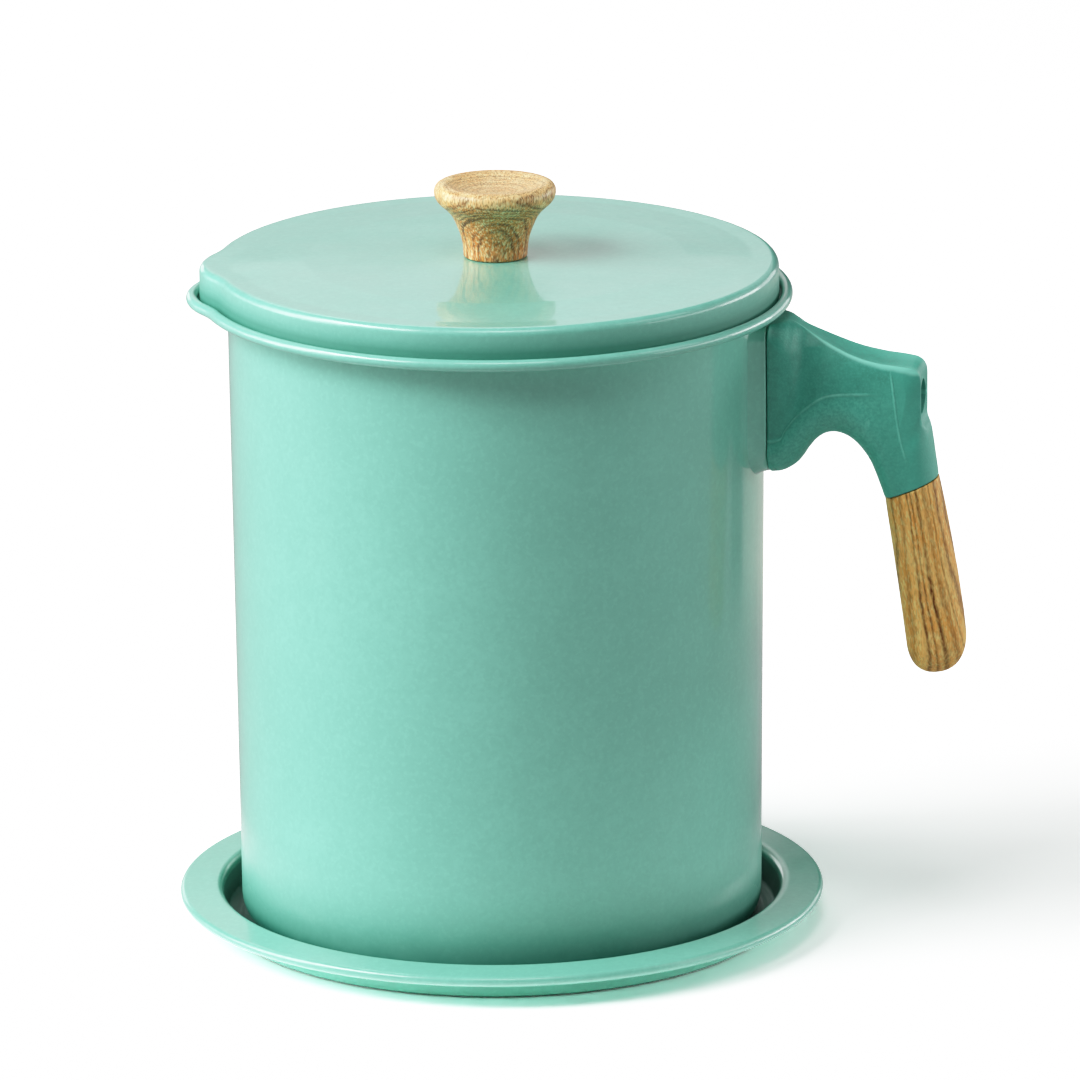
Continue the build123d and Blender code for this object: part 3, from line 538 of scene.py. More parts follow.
def wood(name, origin, rot, pitch, light, mid, rust, dark, fan=None, wave=0.35, along=22.0, rag=0.5, width=0.34,
         dash=0.7, line=0.9, rough=0.36, coat=0.3, calm=None, bands=0.35, breaks=0.5, soft=1.0, even=0.0,
         ior=1.38):
    """Growth rings round the local Z axis (or fanned layers), with ragged lines, fibres and short pores along it."""
    M = Mat(name)
    sh = M.n("VectorMath", operation="SUBTRACT")
    M.link(M.tc.outputs["Object"], sh.inputs[0])
    sh.inputs[1].default_value = tuple(c * MM for c in origin)
    p = M.mapping(rot=rot, src=sh.outputs[0])

    def field(scale, detail=2.0, rough_=0.5, loc=(0, 0, 0), src=None):
        return M.noise(M.mapping(scale=scale, loc=loc, src=src or p), 1.0, detail, rough_)

    # long slow waver of the layers
    wv = M.n("TexNoise")
    wv.inputs["Detail"].default_value = 2.0
    wv.inputs["Scale"].default_value = 1.0
    M.link(M.mapping(scale=(150.0, 150.0, along * 2.6), src=p), wv.inputs["Vector"])
    off = M.n("VectorMath", operation="SUBTRACT")
    M.link(wv.outputs["Color"], off.inputs[0])
    off.inputs[1].default_value = (0.5, 0.5, 0.5)
    sc = M.n("VectorMath", operation="MULTIPLY")
    M.link(off.outputs[0], sc.inputs[0])
    sc.inputs[1].default_value = (wave * 0.004, wave * 0.004, 0.0)
    add = M.n("VectorMath", operation="ADD")
    M.link(p, add.inputs[0])
    M.link(sc.outputs[0], add.inputs[1])
    grain = p                                            # frame in which fibres and pores run along Z
    if fan:
        # layers spread out from the joint towards the far end
        xyz = M.n("SeparateXYZ")
        M.link(add.outputs[0], xyz.inputs[0])
        down = M.math("MULTIPLY", xyz.outputs[2], 1.0 / fan)
        spread = M.math("ADD", M.math("MULTIPLY", down, down), 1.0)
        t = M.math("DIVIDE", xyz.outputs[0], spread)
        comb = M.n("CombineXYZ")
        M.link(t, comb.inputs[0])
        M.link(xyz.outputs[1], comb.inputs[1])
        M.link(xyz.outputs[2], comb.inputs[2])
        grain = comb.outputs[0]
        t = M.math("ADD", t, M.math("MULTIPLY", xyz.outputs[1], 0.22))
    else:
        flat = M.n("VectorMath", operation="MULTIPLY")
        M.link(add.outputs[0], flat.inputs[0])
        flat.inputs[1].default_value = (1.0, 1.0, 0.0)
        ln = M.n("VectorMath", operation="LENGTH")
        M.link(flat.outputs[0], ln.inputs[0])
        t = ln.outputs["Value"]
    t = M.math("MULTIPLY", t, 1000.0 / pitch)
    # uneven spacing, and ragged edges where the fibres cross
    uneven = M.n("TexNoise", noise_dimensions="1D")
    uneven.inputs["Scale"].default_value = 0.45
    uneven.inputs["Detail"].default_value = 1.0
    M.link(t, uneven.inputs["W"])
    t = M.math("ADD", t, M.math("MULTIPLY", uneven.outputs[0], 1.7))
    t = M.math("ADD", t, M.math("MULTIPLY", field((1500.0, 1500.0, 380.0), 2.0, 0.6, src=grain), rag))
    ring = M.math("FRACT", t)
    w = width
    ln_ = M.ramp(ring, [(0.0, (0.9, 0.9, 0.9)), (0.25 * w, (1, 1, 1)), (0.6 * w, (0.75, 0.75, 0.75)),
                        (w, (0.16, 0.16, 0.16)), (0.62, (0, 0, 0)), (0.88, (0.20, 0.20, 0.20)),
                        (1.0, (0.88, 0.88, 0.88))])
    vary = M.n("TexNoise", noise_dimensions="1D")
    vary.inputs["Scale"].default_value = 0.8
    vary.inputs["Detail"].default_value = 0.0
    M.link(t, vary.inputs["W"])
    patch = field((120.0, 120.0, along * 3.0), 2.0)
    amount = M.math("MULTIPLY", M.maprange(vary.outputs[0], 0.38, 0.58, 0.30 + 0.45 * even, 1.0),
                    M.maprange(patch, 0.36, 0.60, 0.55 + 0.25 * even, 1.0))
    # the lines break up into short strokes
    broken = M.maprange(field((2300.0, 2300.0, 700.0), 1.0, 0.5, (3, 1, 7), grain), 0.36, 0.56, 1.0 - breaks, 1.0)
    ln_ = M.math("MULTIPLY", M.math("MULTIPLY", ln_, broken), M.math("MULTIPLY", amount, line))
    if calm:
        zz = M.n("SeparateXYZ")
        M.link(M.tc.outputs["Object"], zz.inputs[0])
        ln_ = M.math("MULTIPLY", ln_, M.maprange(zz.outputs[2], calm[0], calm[1], 1.0, calm[2]))
    # body tone, fibres and pores
    tone = field((330.0, 330.0, along * 5.0), 3.0, 0.62, (0, 5, 0), grain)
    body = M.mix(M.maprange(tone, 0.36, 0.64, 0.0, 1.0), mid, light)
    warm = field((170.0, 170.0, along * 4.0), 3.0, 0.6, (9, 0, 2), grain)
    body = M.mix(M.maprange(warm, 0.44, 0.68, 0.0, 0.75 * soft), body, rust)
    band = M.n("TexNoise", noise_dimensions="1D")
    band.inputs["Scale"].default_value = 0.42
    band.inputs["Detail"].default_value = 1.0
    M.link(M.math("ADD", t, 17.3), band.inputs["W"])
    body = M.mix(M.maprange(band.outputs[0], 0.47, 0.60, 0.0, bands), body, rust)
    if calm:
        zc = M.n("SeparateXYZ")
        M.link(M.tc.outputs["Object"], zc.inputs[0])
        # painted shade: the stem, under the knob's overhanging top, mixed halfway to the rust tone
        body = M.mix(M.maprange(zc.outputs[2], calm[0] - 0.005, calm[0], 0.50, 0.0), body, rust)
        shoulder = M.math("MULTIPLY", M.maprange(zc.outputs[2], calm[0] - 0.0030, calm[0] - 0.0005, 0.0, 0.60),
                          M.maprange(zc.outputs[2], calm[0] + 0.0012, calm[1], 1.0, 0.0))
        body = M.mix(M.math("MULTIPLY", shoulder, M.maprange(warm, 0.38, 0.56, 0.25, 1.0)), body, rust)
        body = M.mix(M.maprange(zc.outputs[2], calm[0], calm[1], 0.0, 0.40), body, tuple(min(1.0, c * 1.20) for c in light))
    fleck = field((2300.0, 2300.0, 640.0), 1.5, 0.5, (0, 0, 4))
    body = M.mix(M.maprange(fleck, 0.50, 0.62, 0.0, 0.85), body, tuple(min(1.0, 1.12 * c + 0.03) for c in light))
    fibre = field((3000.0, 3000.0, 300.0), 3.0, 0.6, src=grain)
    body = M.mix(M.maprange(fibre, 0.40, 0.64, 0.0, 0.45 * soft), body, tuple(0.6 * q + 0.4 * r for q, r in zip(mid, dark)))
    pore = field((2900.0, 2900.0, 760.0), 1.5, 0.5, (5, 5, 5))
    pores = M.math("MULTIPLY", M.maprange(pore, 0.51, 0.59, 0.0, dash), M.maprange(ring, 0.45, 0.95, 1.0, 0.55))
    body = M.mix(pores, body, tuple(0.22 * q + 0.78 * r for q, r in zip(mid, dark)))
    body = M.mix(ln_, body, dark)
    M.link(body, M.b.inputs["Base Color"])
    M.link(M.maprange(fibre, 0.3, 0.7, rough - 0.05, rough + 0.10), M.b.inputs["Roughness"])
    M.set(Coat_Weight=coat, Coat_Roughness=0.24, IOR=ior)
    b1 = M.bump(fibre, 0.10, 0.00012)
    b2 = M.bump(pore, 0.18, 0.00016, b1)
    M.link(b2, M.b.inputs["Normal"])
    return M.m


def metal(name, base, rough=0.26, brush=(900.0, 900.0, 22.0), aniso=0.35):
    M = Mat(name)
    v = M.mapping()
    br = M.noise(M.mapping(scale=brush), 1.0, 4.0, 0.6)
    smear = M.noise(v, 60.0, 4.0)
    col = M.ramp(br, [(0.3, tuple(c * 0.86 for c in base)), (0.7, tuple(min(1, c * 1.06) for c in base))])
    col = M.mix(M.maprange(smear, 0.4, 0.75, 0.0, 0.18), col, tuple(c * 0.8 for c in base))
    M.link(col, M.b.inputs["Base Color"])
    M.link(M.maprange(br, 0.3, 0.7, rough - 0.07, rough + 0.12), M.b.inputs["Roughness"])
    M.set(Metallic=1.0)
    M.b.inputs["Anisotropic"].default_value = aniso
    M.link(M.bump(br, 0.10, 0.00008), M.b.inputs["Normal"])
    return M.m


MINT = enamel("mint_enamel")
# the pot, lid and tray copies of the enamel carry painted shade: low on the pot's wall, low on the lid's skirt, in the
# tray's well
MINT_POT = enamel("mint_enamel_pot", foot=(0.005, 0.024, 1.0, 0.004))
MINT_LID = enamel("mint_enamel_lid", foot=(0.1470, 0.1523, 0.80, 0.0003))
MINT_TRAY = enamel("mint_enamel_tray", (0.180, 0.560, 0.430), rough=0.38, coat_rough=0.11, well=0.78)
GREEN = moulded("green_phenolic")
WOOD_GRIP = wood("wood_grip", (92.60, 0.0, 104.0), (0.0, math.radians(7.42), 0.0), 1.45,
                 (1.00, 0.640, 0.205), (1.00, 0.510, 0.122), (0.80, 0.285, 0.050), (0.110, 0.022, 0.003),
                 fan=0.042, wave=0.40, rag=0.34, width=0.38, dash=0.34, line=1.0, rough=0.46, coat=0.04,
                 bands=0.40, breaks=0.38, soft=0.30, even=0.55, ior=1.24)
WOOD_KNOB = wood("wood_knob", (1.2, -6.5, 153.0), (math.radians(12.7), math.radians(2.35), 0.0), 0.98,
                 (1.00, 0.735, 0.37), (0.92, 0.405, 0.092), (0.74, 0.190, 0.025), (0.050, 0.010, 0.001),
                 wave=0.4, along=60.0, rag=0.55, width=0.48, dash=0.75, line=1.0, rough=0.42, coat=0.15,
                 calm=(0.1655, 0.1690, 0.45), bands=0.75)
STEEL = metal("zinc_steel", (0.60, 0.60, 0.59), 0.24, (500.0, 500.0, 500.0), 0.0)
BRASS = metal("brass", (0.78, 0.58, 0.26), 0.26, (700.0, 700.0, 700.0), 0.0)
STAINLESS = metal("stainless", (0.66, 0.655, 0.64), 0.24, (60.0, 60.0, 1500.0), 0.3)
WIRE = metal("steel_wire", (0.60, 0.60, 0.585), 0.28, (300.0, 300.0, 300.0), 0.0)


def finish(ob, mat, body, slot, *nodes):
    ob.data.materials.clear()
    ob.data.materials.append(mat)
    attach(ob, body)
    if nodes:
        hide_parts(*nodes)
    return ob


# ---------------------------------------------------------------------------
# Drip tray: one pressed sheet with a rolled edge
# ---------------------------------------------------------------------------
tp = rounded([(0, 0.45, 0), (58.4, 0.45, 0.8), (59.2, 0.62, 0.8), (60.2, 0.45, 0.6), (62.55, 0.45, 2.3),
              (63.62, 7.93, 1.15), (71.0, 7.50, 3.0), (71.54, 7.46, 0)], 8)
curl = arc(71.54, 6.76, 0.70, 88, -168, 22)
tray_loop = stroke(dense(np.vstack([tp, curl])), 0.88)
tray_ob = finish(lathe("tray_visual", tray_loop, 384), MINT_TRAY, "tray", "mint_enamel", "tray")

# ---------------------------------------------------------------------------
# Pot
# ---------------------------------------------------------------------------
zt = 143.4
pc = rounded([(0, 2.2, 0), (46.2, 2.2, 1.4), (48.2, 1.32, 1.4), (58.28, 1.32, 8.6),
              (wall_r(142.0) - 0.4, 142.0, 0), (59.58, zt, 1.5), (63.2, zt, 1.0), (63.95, 144.1, 0.9),
              (63.95, 144.75, 0)], 12)
pcurl = arc(RIM_R, 144.75, 0.90, 178, -150, 26)
pot_loop = stroke(dense(np.vstack([pc, pcurl])), 0.78)
pot_ob = plan_sweep("pot_visual", pot_loop, plan_map_pot)
finish(pot_ob, MINT_POT, "pot", "mint_enamel", "pot_body")

# ---------------------------------------------------------------------------
# Lid
# ---------------------------------------------------------------------------
rs = RIM_R - 1.75 - 0.4
lp = rounded([(0, 152.85, 0), (9.0, 152.85, 40.0), (42.5, 152.68, 24.0), (57.0, 152.10, 28.0), (rs, 152.10, 1.30),
              (rs, 144.55, 0)], 10)
lid_loop = stroke(dense(lp, 0.5, 5.0), 0.8)
lid_ob = plan_sweep("lid_visual", lid_loop, plan_map_lid)
finish(lid_ob, MINT_LID, "lid", "mint_enamel", "lid")

# ---------------------------------------------------------------------------
# Knob: turned, dished on top, its foot just eased
# ---------------------------------------------------------------------------
kz = 153.26
prof = spline([(7.12, 153.72), (7.17, 154.6), (7.24, 155.6), (7.50, 157.2), (7.94, 158.8), (8.52, 160.3),
               (9.12, 161.7), (9.88, 163.0), (10.85, 164.15), (11.85, 165.05), (12.68, 165.85), (13.22, 166.65),
               (13.53, 167.5), (13.60, 168.25), (13.46, 168.95), (13.05, 169.58), (12.35, 169.98), (11.5, 170.12),
               (10.7, 170.02), (9.6, 169.72), (8.0, 169.30), (5.6, 168.85), (2.8, 168.52), (0.0, 168.44)], 7)
foot = np.array([(0.0, kz), (6.2, kz), (6.55, kz + 0.03), (6.85, kz + 0.12), (7.04, kz + 0.26)])
prof[-1, 0] = 0.0
knob_ob = lathe("knob_visual", np.vstack([foot, prof]), 200, sharp=50)
finish(knob_ob, WOOD_KNOB, "lid", "wood_knob", "knob")

# ---------------------------------------------------------------------------
# Handle bracket: pressed cup flared onto the wall
# ---------------------------------------------------------------------------
def upright(hw, z0, z1, rb, rt, n=14):
    """Rounded outline in (y, z), anticlockwise from the lower right, fixed point count."""
    pts = []
    for cy, cz, r, a0 in ((hw - rb, z0 + rb, rb, -90), (hw - rt, z1 - rt, rt, 0),
                          (-hw + rt, z1 - rt, rt, 90), (-hw + rb, z0 + rb, rb, 180)):
        pts += list(arc(cy, cz, r, a0, a0 + 90, n))
    pts = np.array(pts)
    # extra points along the straight sides keep the quads short
    out = []
    for i in range(len(pts)):
        p, q = pts[i], pts[(i + 1) % len(pts)]
        out.append(p)
        if (i + 1) % n == 0:
            for t in (0.08, 0.3, 0.5, 0.7, 0.92):
                out.append(p + (q - p) * t)
    return np.array(out)


rings = []
for t in np.concatenate([np.linspace(0, 0.78, 12), [0.84, 0.9]]):
    fl = (1 - t) ** 1.9
    o = upright(10.6 + 1.9 * fl, 107.0 - 1.1 * fl, 141.25, 8.8 + 1.2 * fl, 3.0)
    xb = np.sqrt(np.maximum((wall_r(o[:, 1]) - 0.35) ** 2 - o[:, 0] ** 2, 0))
    x = xb + t * (SEAM_X - 0.02 - xb)
    rings.append(np.column_stack([x, o]))
for a in np.radians(np.linspace(0, 90, 6)):
    er = 0.45
    o = upright(10.6 - er * (1 - math.cos(a)), 107.0 + er * (1 - math.cos(a)), 141.25 - er * (1 - math.cos(a)),
                8.8 - er * (1 - math.cos(a)), 3.0 - er * (1 - math.cos(a)))
    rings.append(np.column_stack([np.full(len(o), SEAM_X - 0.02 - er + er * math.sin(a)), o]))
for k in (0.8, 0.5):
    last = rings[-1] if k == 0.8 else rings[-1]
    c = np.array([SEAM_X - 0.02, 0, 124.6])
    rings.append(np.column_stack([np.full(len(o), SEAM_X - 0.02), c[1] + (o[:, 0] - c[1]) * k,
                                  c[2] + (o[:, 1] - c[2]) * k]))
V = np.stack(rings, 0)
nu, nv = V.shape[:2]
faces = grid_faces(nu, nv, False, True)
verts = list(V.reshape(-1, 3))
ci = len(verts)
verts.append(np.array([SEAM_X - 0.02, 0, 124.6]))
faces += [((nu - 1) * nv + j, (nu - 1) * nv + (j + 1) % nv, ci) for j in range(nv)]
# close the back just inside the wall, so the piece is a solid
faces.append(tuple(range(nv - 1, -1, -1)))
bracket_ob = make_obj("bracket_visual", verts, faces)
finish(bracket_ob, MINT, "pot", "mint_enamel", "handle_bracket")

# ---------------------------------------------------------------------------
# Handle arm: sections that fan from the seam over the finger arch to the grip
# ---------------------------------------------------------------------------
T_LINE = np.vstack([
    [(SEAM_X + 0.2, 141.6), (65.4, 141.62)],
    spline([(66.4, 141.6), (67.6, 141.15), (69.6, 140.05), (72.1, 138.75), (76.7, 136.5), (81.7, 134.5),
            (87.0, 133.25), (91.2, 132.75), (94.0, 132.35)], 8),
    spline([(94.35, 132.25), (95.45, 131.6), (96.12, 130.5), (96.35, 129.1), (96.35, 127.6)], 6),
    spline([(96.35, 121.2), (96.35, 120.2), (96.62, 119.15), (97.25, 118.2), (97.75, 117.0), (98.3, 114.6),
            (98.9, 110.8), (99.6, 106.5)], 6),
])
B_LINE = spline([(SEAM_X + 0.2, 107.0), (64.6, 107.2), (66.6, 107.9), (68.4, 109.2), (69.8, 110.9), (71.2, 113.0),
                 (72.9, 115.0), (75.0, 116.3), (77.2, 116.6), (79.4, 115.9), (81.3, 114.5), (83.2, 112.1),
                 (85.0, 108.9), (86.5, 105.1), (87.7, 101.7)], 8)
# T, B, flat half width on top, depth of the shoulder line and half width there, crispness of the top edge,
# ridge height over the under side, half width there, fullness below it, flat half width below
KEYS = [
    ((62.6, 141.6), (62.6, 107.0), 7.4, 3.0, 10.45, 0.0, 8.55, 9.85, 2.0, 1.9),
    ((65.0, 141.6), (64.8, 107.25), 4.8, 5.4, 10.00, 0.0, 8.65, 9.75, 2.0, 2.2),
    ((67.6, 141.15), (67.2, 108.3), 1.9, 6.6, 8.60, 0.1, 10.8, 9.45, 2.0, 2.6),
    ((70.5, 139.6), (69.4, 110.4), 2.5, 3.6, 5.50, 0.8, 11.6, 9.00, 2.0, 2.9),
    ((74.0, 137.8), (71.4, 113.3), 3.8, 1.7, 4.60, 1.0, 10.8, 8.45, 2.0, 3.0),
    ((78.0, 135.9), (74.0, 115.8), 4.9, 1.4, 5.40, 1.0, 10.0, 7.85, 2.0, 3.0),
    ((82.0, 134.4), (77.2, 116.6), 5.7, 1.3, 6.10, 1.0, 9.6, 7.45, 2.0, 3.0),
    ((86.0, 133.5), (80.0, 115.5), 6.2, 1.35, 6.55, 1.0, 9.2, 7.20, 2.0, 2.6),
    ((90.0, 132.9), (82.2, 113.5), 6.3, 2.0, 6.75, 1.0, 9.0, 7.05, 2.0, 1.9),
    ((93.0, 132.5), (83.5, 111.6), 6.2, 3.2, 6.90, 1.0, 9.0, 7.05, 2.0, 1.2),
    ((95.4, 131.6), (84.4, 110.0), 5.6, 5.2, 6.98, 0.8, 8.6, 7.03, 2.0, 0.8),
    ((96.3, 129.6), (85.0, 108.9), 5.3, 7.6, 7.02, 0.6, 8.3, 7.02, 2.05, 0.7),
    ((96.35, 126.5), (85.5, 107.7), 5.3, 9.0, 7.05, 0.6, 8.0, 7.00, 2.10, 0.6),
    ((96.35, 122.0), (86.0, 106.4), 5.3, 8.0, 7.05, 0.6, 7.6, 7.00, 2.10, 0.5),
    ((96.5, 119.4), (86.4, 105.3), 4.6, 7.0, 7.05, 0.4, 7.2, 7.00, 2.10, 0.5),
    ((97.6, 117.5), (86.8, 104.2), 2.4, 6.4, 7.02, 0.1, 6.9, 7.00, 2.10, 0.4),
    ((98.3, 114.6), (87.1, 103.4), 0.9, 6.3, 7.00, 0.0, 6.6, 7.00, 2.15, 0.3),
    ((98.9, 110.8), (87.4, 102.6), 0.5, 6.4, 6.98, 0.0, 6.4, 6.98, 2.20, 0.3),
    ((99.6, 106.5), (87.7, 101.7), 0.3, 6.4, 6.92, 0.0, 6.4, 6.92, 2.20, 0.3),
]


def section(L, h1, R, hs, crisp, e2, h2, nB, h3, scoop, bulge):
    """Half outline (a from the top, half width h), top middle to bottom middle, fixed point count."""
    R = min(R, L - e2 - 0.4)
    pts = []
    er = 0.34                                            # rounding of the crisp edge
    f = np.radians(np.linspace(0, 90, 19))
    full = np.column_stack([R * (1 - np.cos(f)), h1 + (hs - h1) * np.sin(f)])
    q = []
    tilt = math.atan2(hs - h1, R)                        # run of the shoulder below the edge
    for g in np.linspace(0, math.pi / 2 - tilt, 7):
        q.append((er * (1 - math.cos(g)), h1 - er + er * math.sin(g)))
    p0 = np.array(q[-1])
    p2 = np.array([R, hs])
    p1 = 0.5 * (p0 + p2) + np.array([-0.02, 0.045]) * np.linalg.norm(p2 - p0)
    for g in (0.06, 0.14, 0.24, 0.35, 0.46, 0.57, 0.68, 0.79, 0.88, 0.93, 0.965, 1.0):
        q.append(tuple((1 - g) ** 2 * p0 + 2 * g * (1 - g) * p1 + g * g * p2))
    q = np.array(q)
    shoulder = (1 - crisp) * full + crisp * q
    h0 = shoulder[0, 1]
    for t in np.linspace(0, 1, 9)[:-1]:                  # thumb hollow
        pts.append((scoop * (1 - t ** 2.4), h0 * t))
    pts += [tuple(p) for p in shoulder]
    side = L - e2 - R
    for t in (0.02, 0.07, 0.18, 0.34, 0.5, 0.66, 0.82, 0.93, 0.98, 1.0):
        pts.append((R + side * t, hs + (h2 - hs) * t))
    for g in (0.03, 0.07, 0.12, 0.19, 0.27, 0.36, 0.45, 0.54, 0.64, 0.74, 0.83, 0.91, 0.96, 1.0):
        a = L - e2 + e2 * g                              # rolled lip below the ridge
        fall = max(1 - max(0.0, (g - 0.30) / 0.70) ** nB, 0.0) ** (1 / nB)
        rise = bulge * math.sin(min(g / 0.42, 1.0) * math.pi / 2)
        pts.append((a, h3 + (h2 + rise - h3) * fall))
    for t in np.linspace(1, 0, 6)[1:]:
        pts.append((L, h3 * t))
    return np.array(pts)


ks = np.array([nearest_length(T_LINE, k[0]) for k in KEYS])
kb = np.array([nearest_length(B_LINE, k[1]) for k in KEYS])
ks[0], kb[0] = 0.0, 0.0
ks[-1], kb[-1] = lengths(T_LINE)[-1], lengths(B_LINE)[-1]
u_keys = np.linspace(0, 1, len(KEYS))
u_keys = (ks / ks[-1] + kb / kb[-1]) / 2
NU = 150
uu = np.linspace(0, 1, NU)
sT, sB = pchip(u_keys, ks, uu), pchip(u_keys, kb, uu)
Tq, Bq = at_length(T_LINE, sT), at_length(B_LINE, sB)
tracks = [pchip(u_keys, [k[j] for k in KEYS], uu) for j in range(2, 10)]
SCOOP = [0, 0, 0.05, 0.25, 0.55, 0.85, 1.0, 1.0, 0.9, 0.6, 0.3, 0.6, 0.95, 0.95, 0.3, 0, 0, 0, 0]
scoops = pchip(u_keys, SCOOP, uu)                        # hollow of the thumb rest and of the back face
bulges = pchip([0, 0.10, 0.30, 0.5, 0.65, 1.0], [0.5, 0.65, 0.75, 0.6, 0.1, 0], uu)
rings = []
for i in range(NU):
    d = Bq[i] - Tq[i]
    L = np.linalg.norm(d)
    d /= L
    sec = section(L, *[t[i] for t in tracks], scoops[i], bulges[i])
    xz = Tq[i] + sec[:, :1] * d
    near = np.column_stack([xz[:, 0], -sec[:, 1], xz[:, 1]])
    far = np.column_stack([xz[:, 0], sec[:, 1], xz[:, 1]])[1:-1][::-1]
    rings.append(np.vstack([near, far]))


def eased_end(ring, inward, r=0.4, n=4):
    """Rings that round a flat end over by r; inward is the unit vector from the end into the piece."""
    c = ring.mean(0)
    out = []
    for a in np.radians(np.linspace(0, 90, n + 1)):
        f = r * (1 - math.cos(a))
        v = ring - c
        ln = np.linalg.norm(v, axis=1)[:, None]
        out.append(c + v * (1 - f / np.maximum(ln, 1e-6)) - inward * r * math.sin(a))
    return out          # from the full ring towards the end face


inw0 = np.array([1.0, 0, 0])
jvec = Tq[-1] - Bq[-1]
jvec /= np.linalg.norm(jvec)
inw1 = np.array([-jvec[1], 0, jvec[0]])          # up into the arm, square to the joint
head = eased_end(rings[0] + inw0 * 0.35, inw0, 0.35)[::-1]
tail = eased_end(rings[-1] + inw1 * 0.42, inw1, 0.32)
rings = head + [r for r in rings[3:-3]] + tail
V = np.stack(rings, 0)
nu, nv = V.shape[:2]
faces = grid_faces(nu, nv, False, True)
verts = list(V.reshape(-1, 3))
for ring, base in ((V[0], 0), (V[-1], (nu - 1) * nv)):
    c = ring.mean(0)
    inner = [c + (p - c) * 0.6 for p in ring]
    b2 = len(verts)
    verts += inner
    verts.append(c)
    for j in range(nv):
        j2 = (j + 1) % nv
        q = (base + j, base + j2, b2 + j2, b2 + j)
        faces.append(q)
        faces.append((b2 + j, b2 + j2, b2 + nv))
arm_ob = make_obj("arm_visual", verts, faces, sharp=40)


def cylinder_x(name, x0, x1, r, z, n=64, r2=None):
    t = np.linspace(0, 2 * math.pi, n, endpoint=False)
    v = [(x, q * math.cos(a), z + q * math.sin(a)) for x, q in ((x0, r), (x1, r2 or r)) for a in t]
    f = [(j, (j + 1) % n, n + (j + 1) % n, n + j) for j in range(n)]
    f += [tuple(range(n - 1, -1, -1)), tuple(range(n, 2 * n))]
    return make_obj(name, v, f)


def cut(ob, cutter):
    md = ob.modifiers.new("cut", "BOOLEAN")
    md.operation = "DIFFERENCE"
    md.solver = "EXACT"
    md.object = cutter
    dg = bpy.context.evaluated_depsgraph_get()
    me = bpy.data.meshes.new_from_object(ob.evaluated_get(dg), depsgraph=dg)
    ob.modifiers.clear()
    old = ob.data
    ob.data = me
    bpy.data.meshes.remove(old)
    bpy.data.objects.remove(cutter)
    for p in ob.data.polygons:
        p.use_smooth = True
    ob.data.set_sharp_from_angle(angle=math.radians(38))


cut(arm_ob, cylinder_x("hole_a", 90.2, 110.0, 3.95, 124.6))
cut(arm_ob, cylinder_x("hole_b", 60.0, 95.0, 2.2, 124.6))
cut(arm_ob, cylinder_x("hole_c", 60.0, 70.8, 4.3, 124.6))
finish(arm_ob, GREEN, "pot", "green_phenolic", "handle_arm")

# ---------------------------------------------------------------------------
# Grip: oval sleeve, rounded at its end
# ---------------------------------------------------------------------------
A0 = np.array([93.65, 104.0])
AX = np.array([5.55, -42.6])
AX /= np.linalg.norm(AX)
NX = np.array([-AX[1], AX[0]])
S_MAX, S_R = 43.0, 34.3
sk = [0, 6, 12, 21, 30, 35, 43]
nc = [0.0, 0.32, 0.58, 0.86, 1.00, 0.95, 0.42]
dk = [6.22, 6.48, 6.62, 6.76, 6.80, 6.74, 6.7]
wk = [6.88, 6.82, 6.78, 6.80, 6.84, 6.80, 6.7]
NS = 90
tt = np.linspace(0, 1, NS)
s_all = S_MAX * (1 - (1 - tt) ** 1.35)
rings = []
for s in s_all[:-1]:
    e = 1.0
    if s > S_R:
        e = max(1 - ((s - S_R) / (S_MAX - S_R)) ** 2.4, 0.0) ** (1 / 2.4)
    c_, d_, w_ = np.interp(s, sk, nc), np.interp(s, sk, dk) * e, np.interp(s, sk, wk) * e
    ring = []
    for a in np.linspace(0, 2 * math.pi, 96, endpoint=False):
        ca, sa = math.cos(a), math.sin(a)
        nn = math.copysign(abs(ca) ** (2 / 2.25), ca) * d_
        yy = math.copysign(abs(sa) ** (2 / 2.25), sa) * w_
        slant = -(nn / 6.22) * 1.62 * max(0.0, 1 - s / 12.0) ** 1.5
        p = A0 + AX * (s + slant) + NX * (c_ + nn)
        ring.append((p[0], -yy, p[1]))
    rings.append(np.array(ring))
c_end = A0 + AX * S_MAX + NX * np.interp(S_MAX, sk, nc)
inw = np.array([AX[0], 0, AX[1]])
head = eased_end(rings[0] + inw * 0.28, inw, 0.28)[::-1]
rings = head + rings[1:]
V = np.stack(rings, 0)
nu, nv = V.shape[:2]
faces = grid_faces(nu, nv, False, True)
verts = list(V.reshape(-1, 3))
ci = len(verts)
verts.append(np.array([c_end[0], 0, c_end[1]]))
faces += [((nu - 1) * nv + j, (nu - 1) * nv + (j + 1) % nv, ci) for j in range(nv)]
c = V[0].mean(0)
b2 = len(verts)
verts += [c + (p - c) * 0.6 for p in V[0]] + [c]
for j in range(nv):
    j2 = (j + 1) % nv
    faces.append((j, j2, b2 + j2, b2 + j))
    faces.append((b2 + j, b2 + j2, b2 + nv))
grip_ob = make_obj("grip_visual", verts, faces, sharp=50)
finish(grip_ob, WOOD_GRIP, "pot", "wood_grip", "handle_grip")

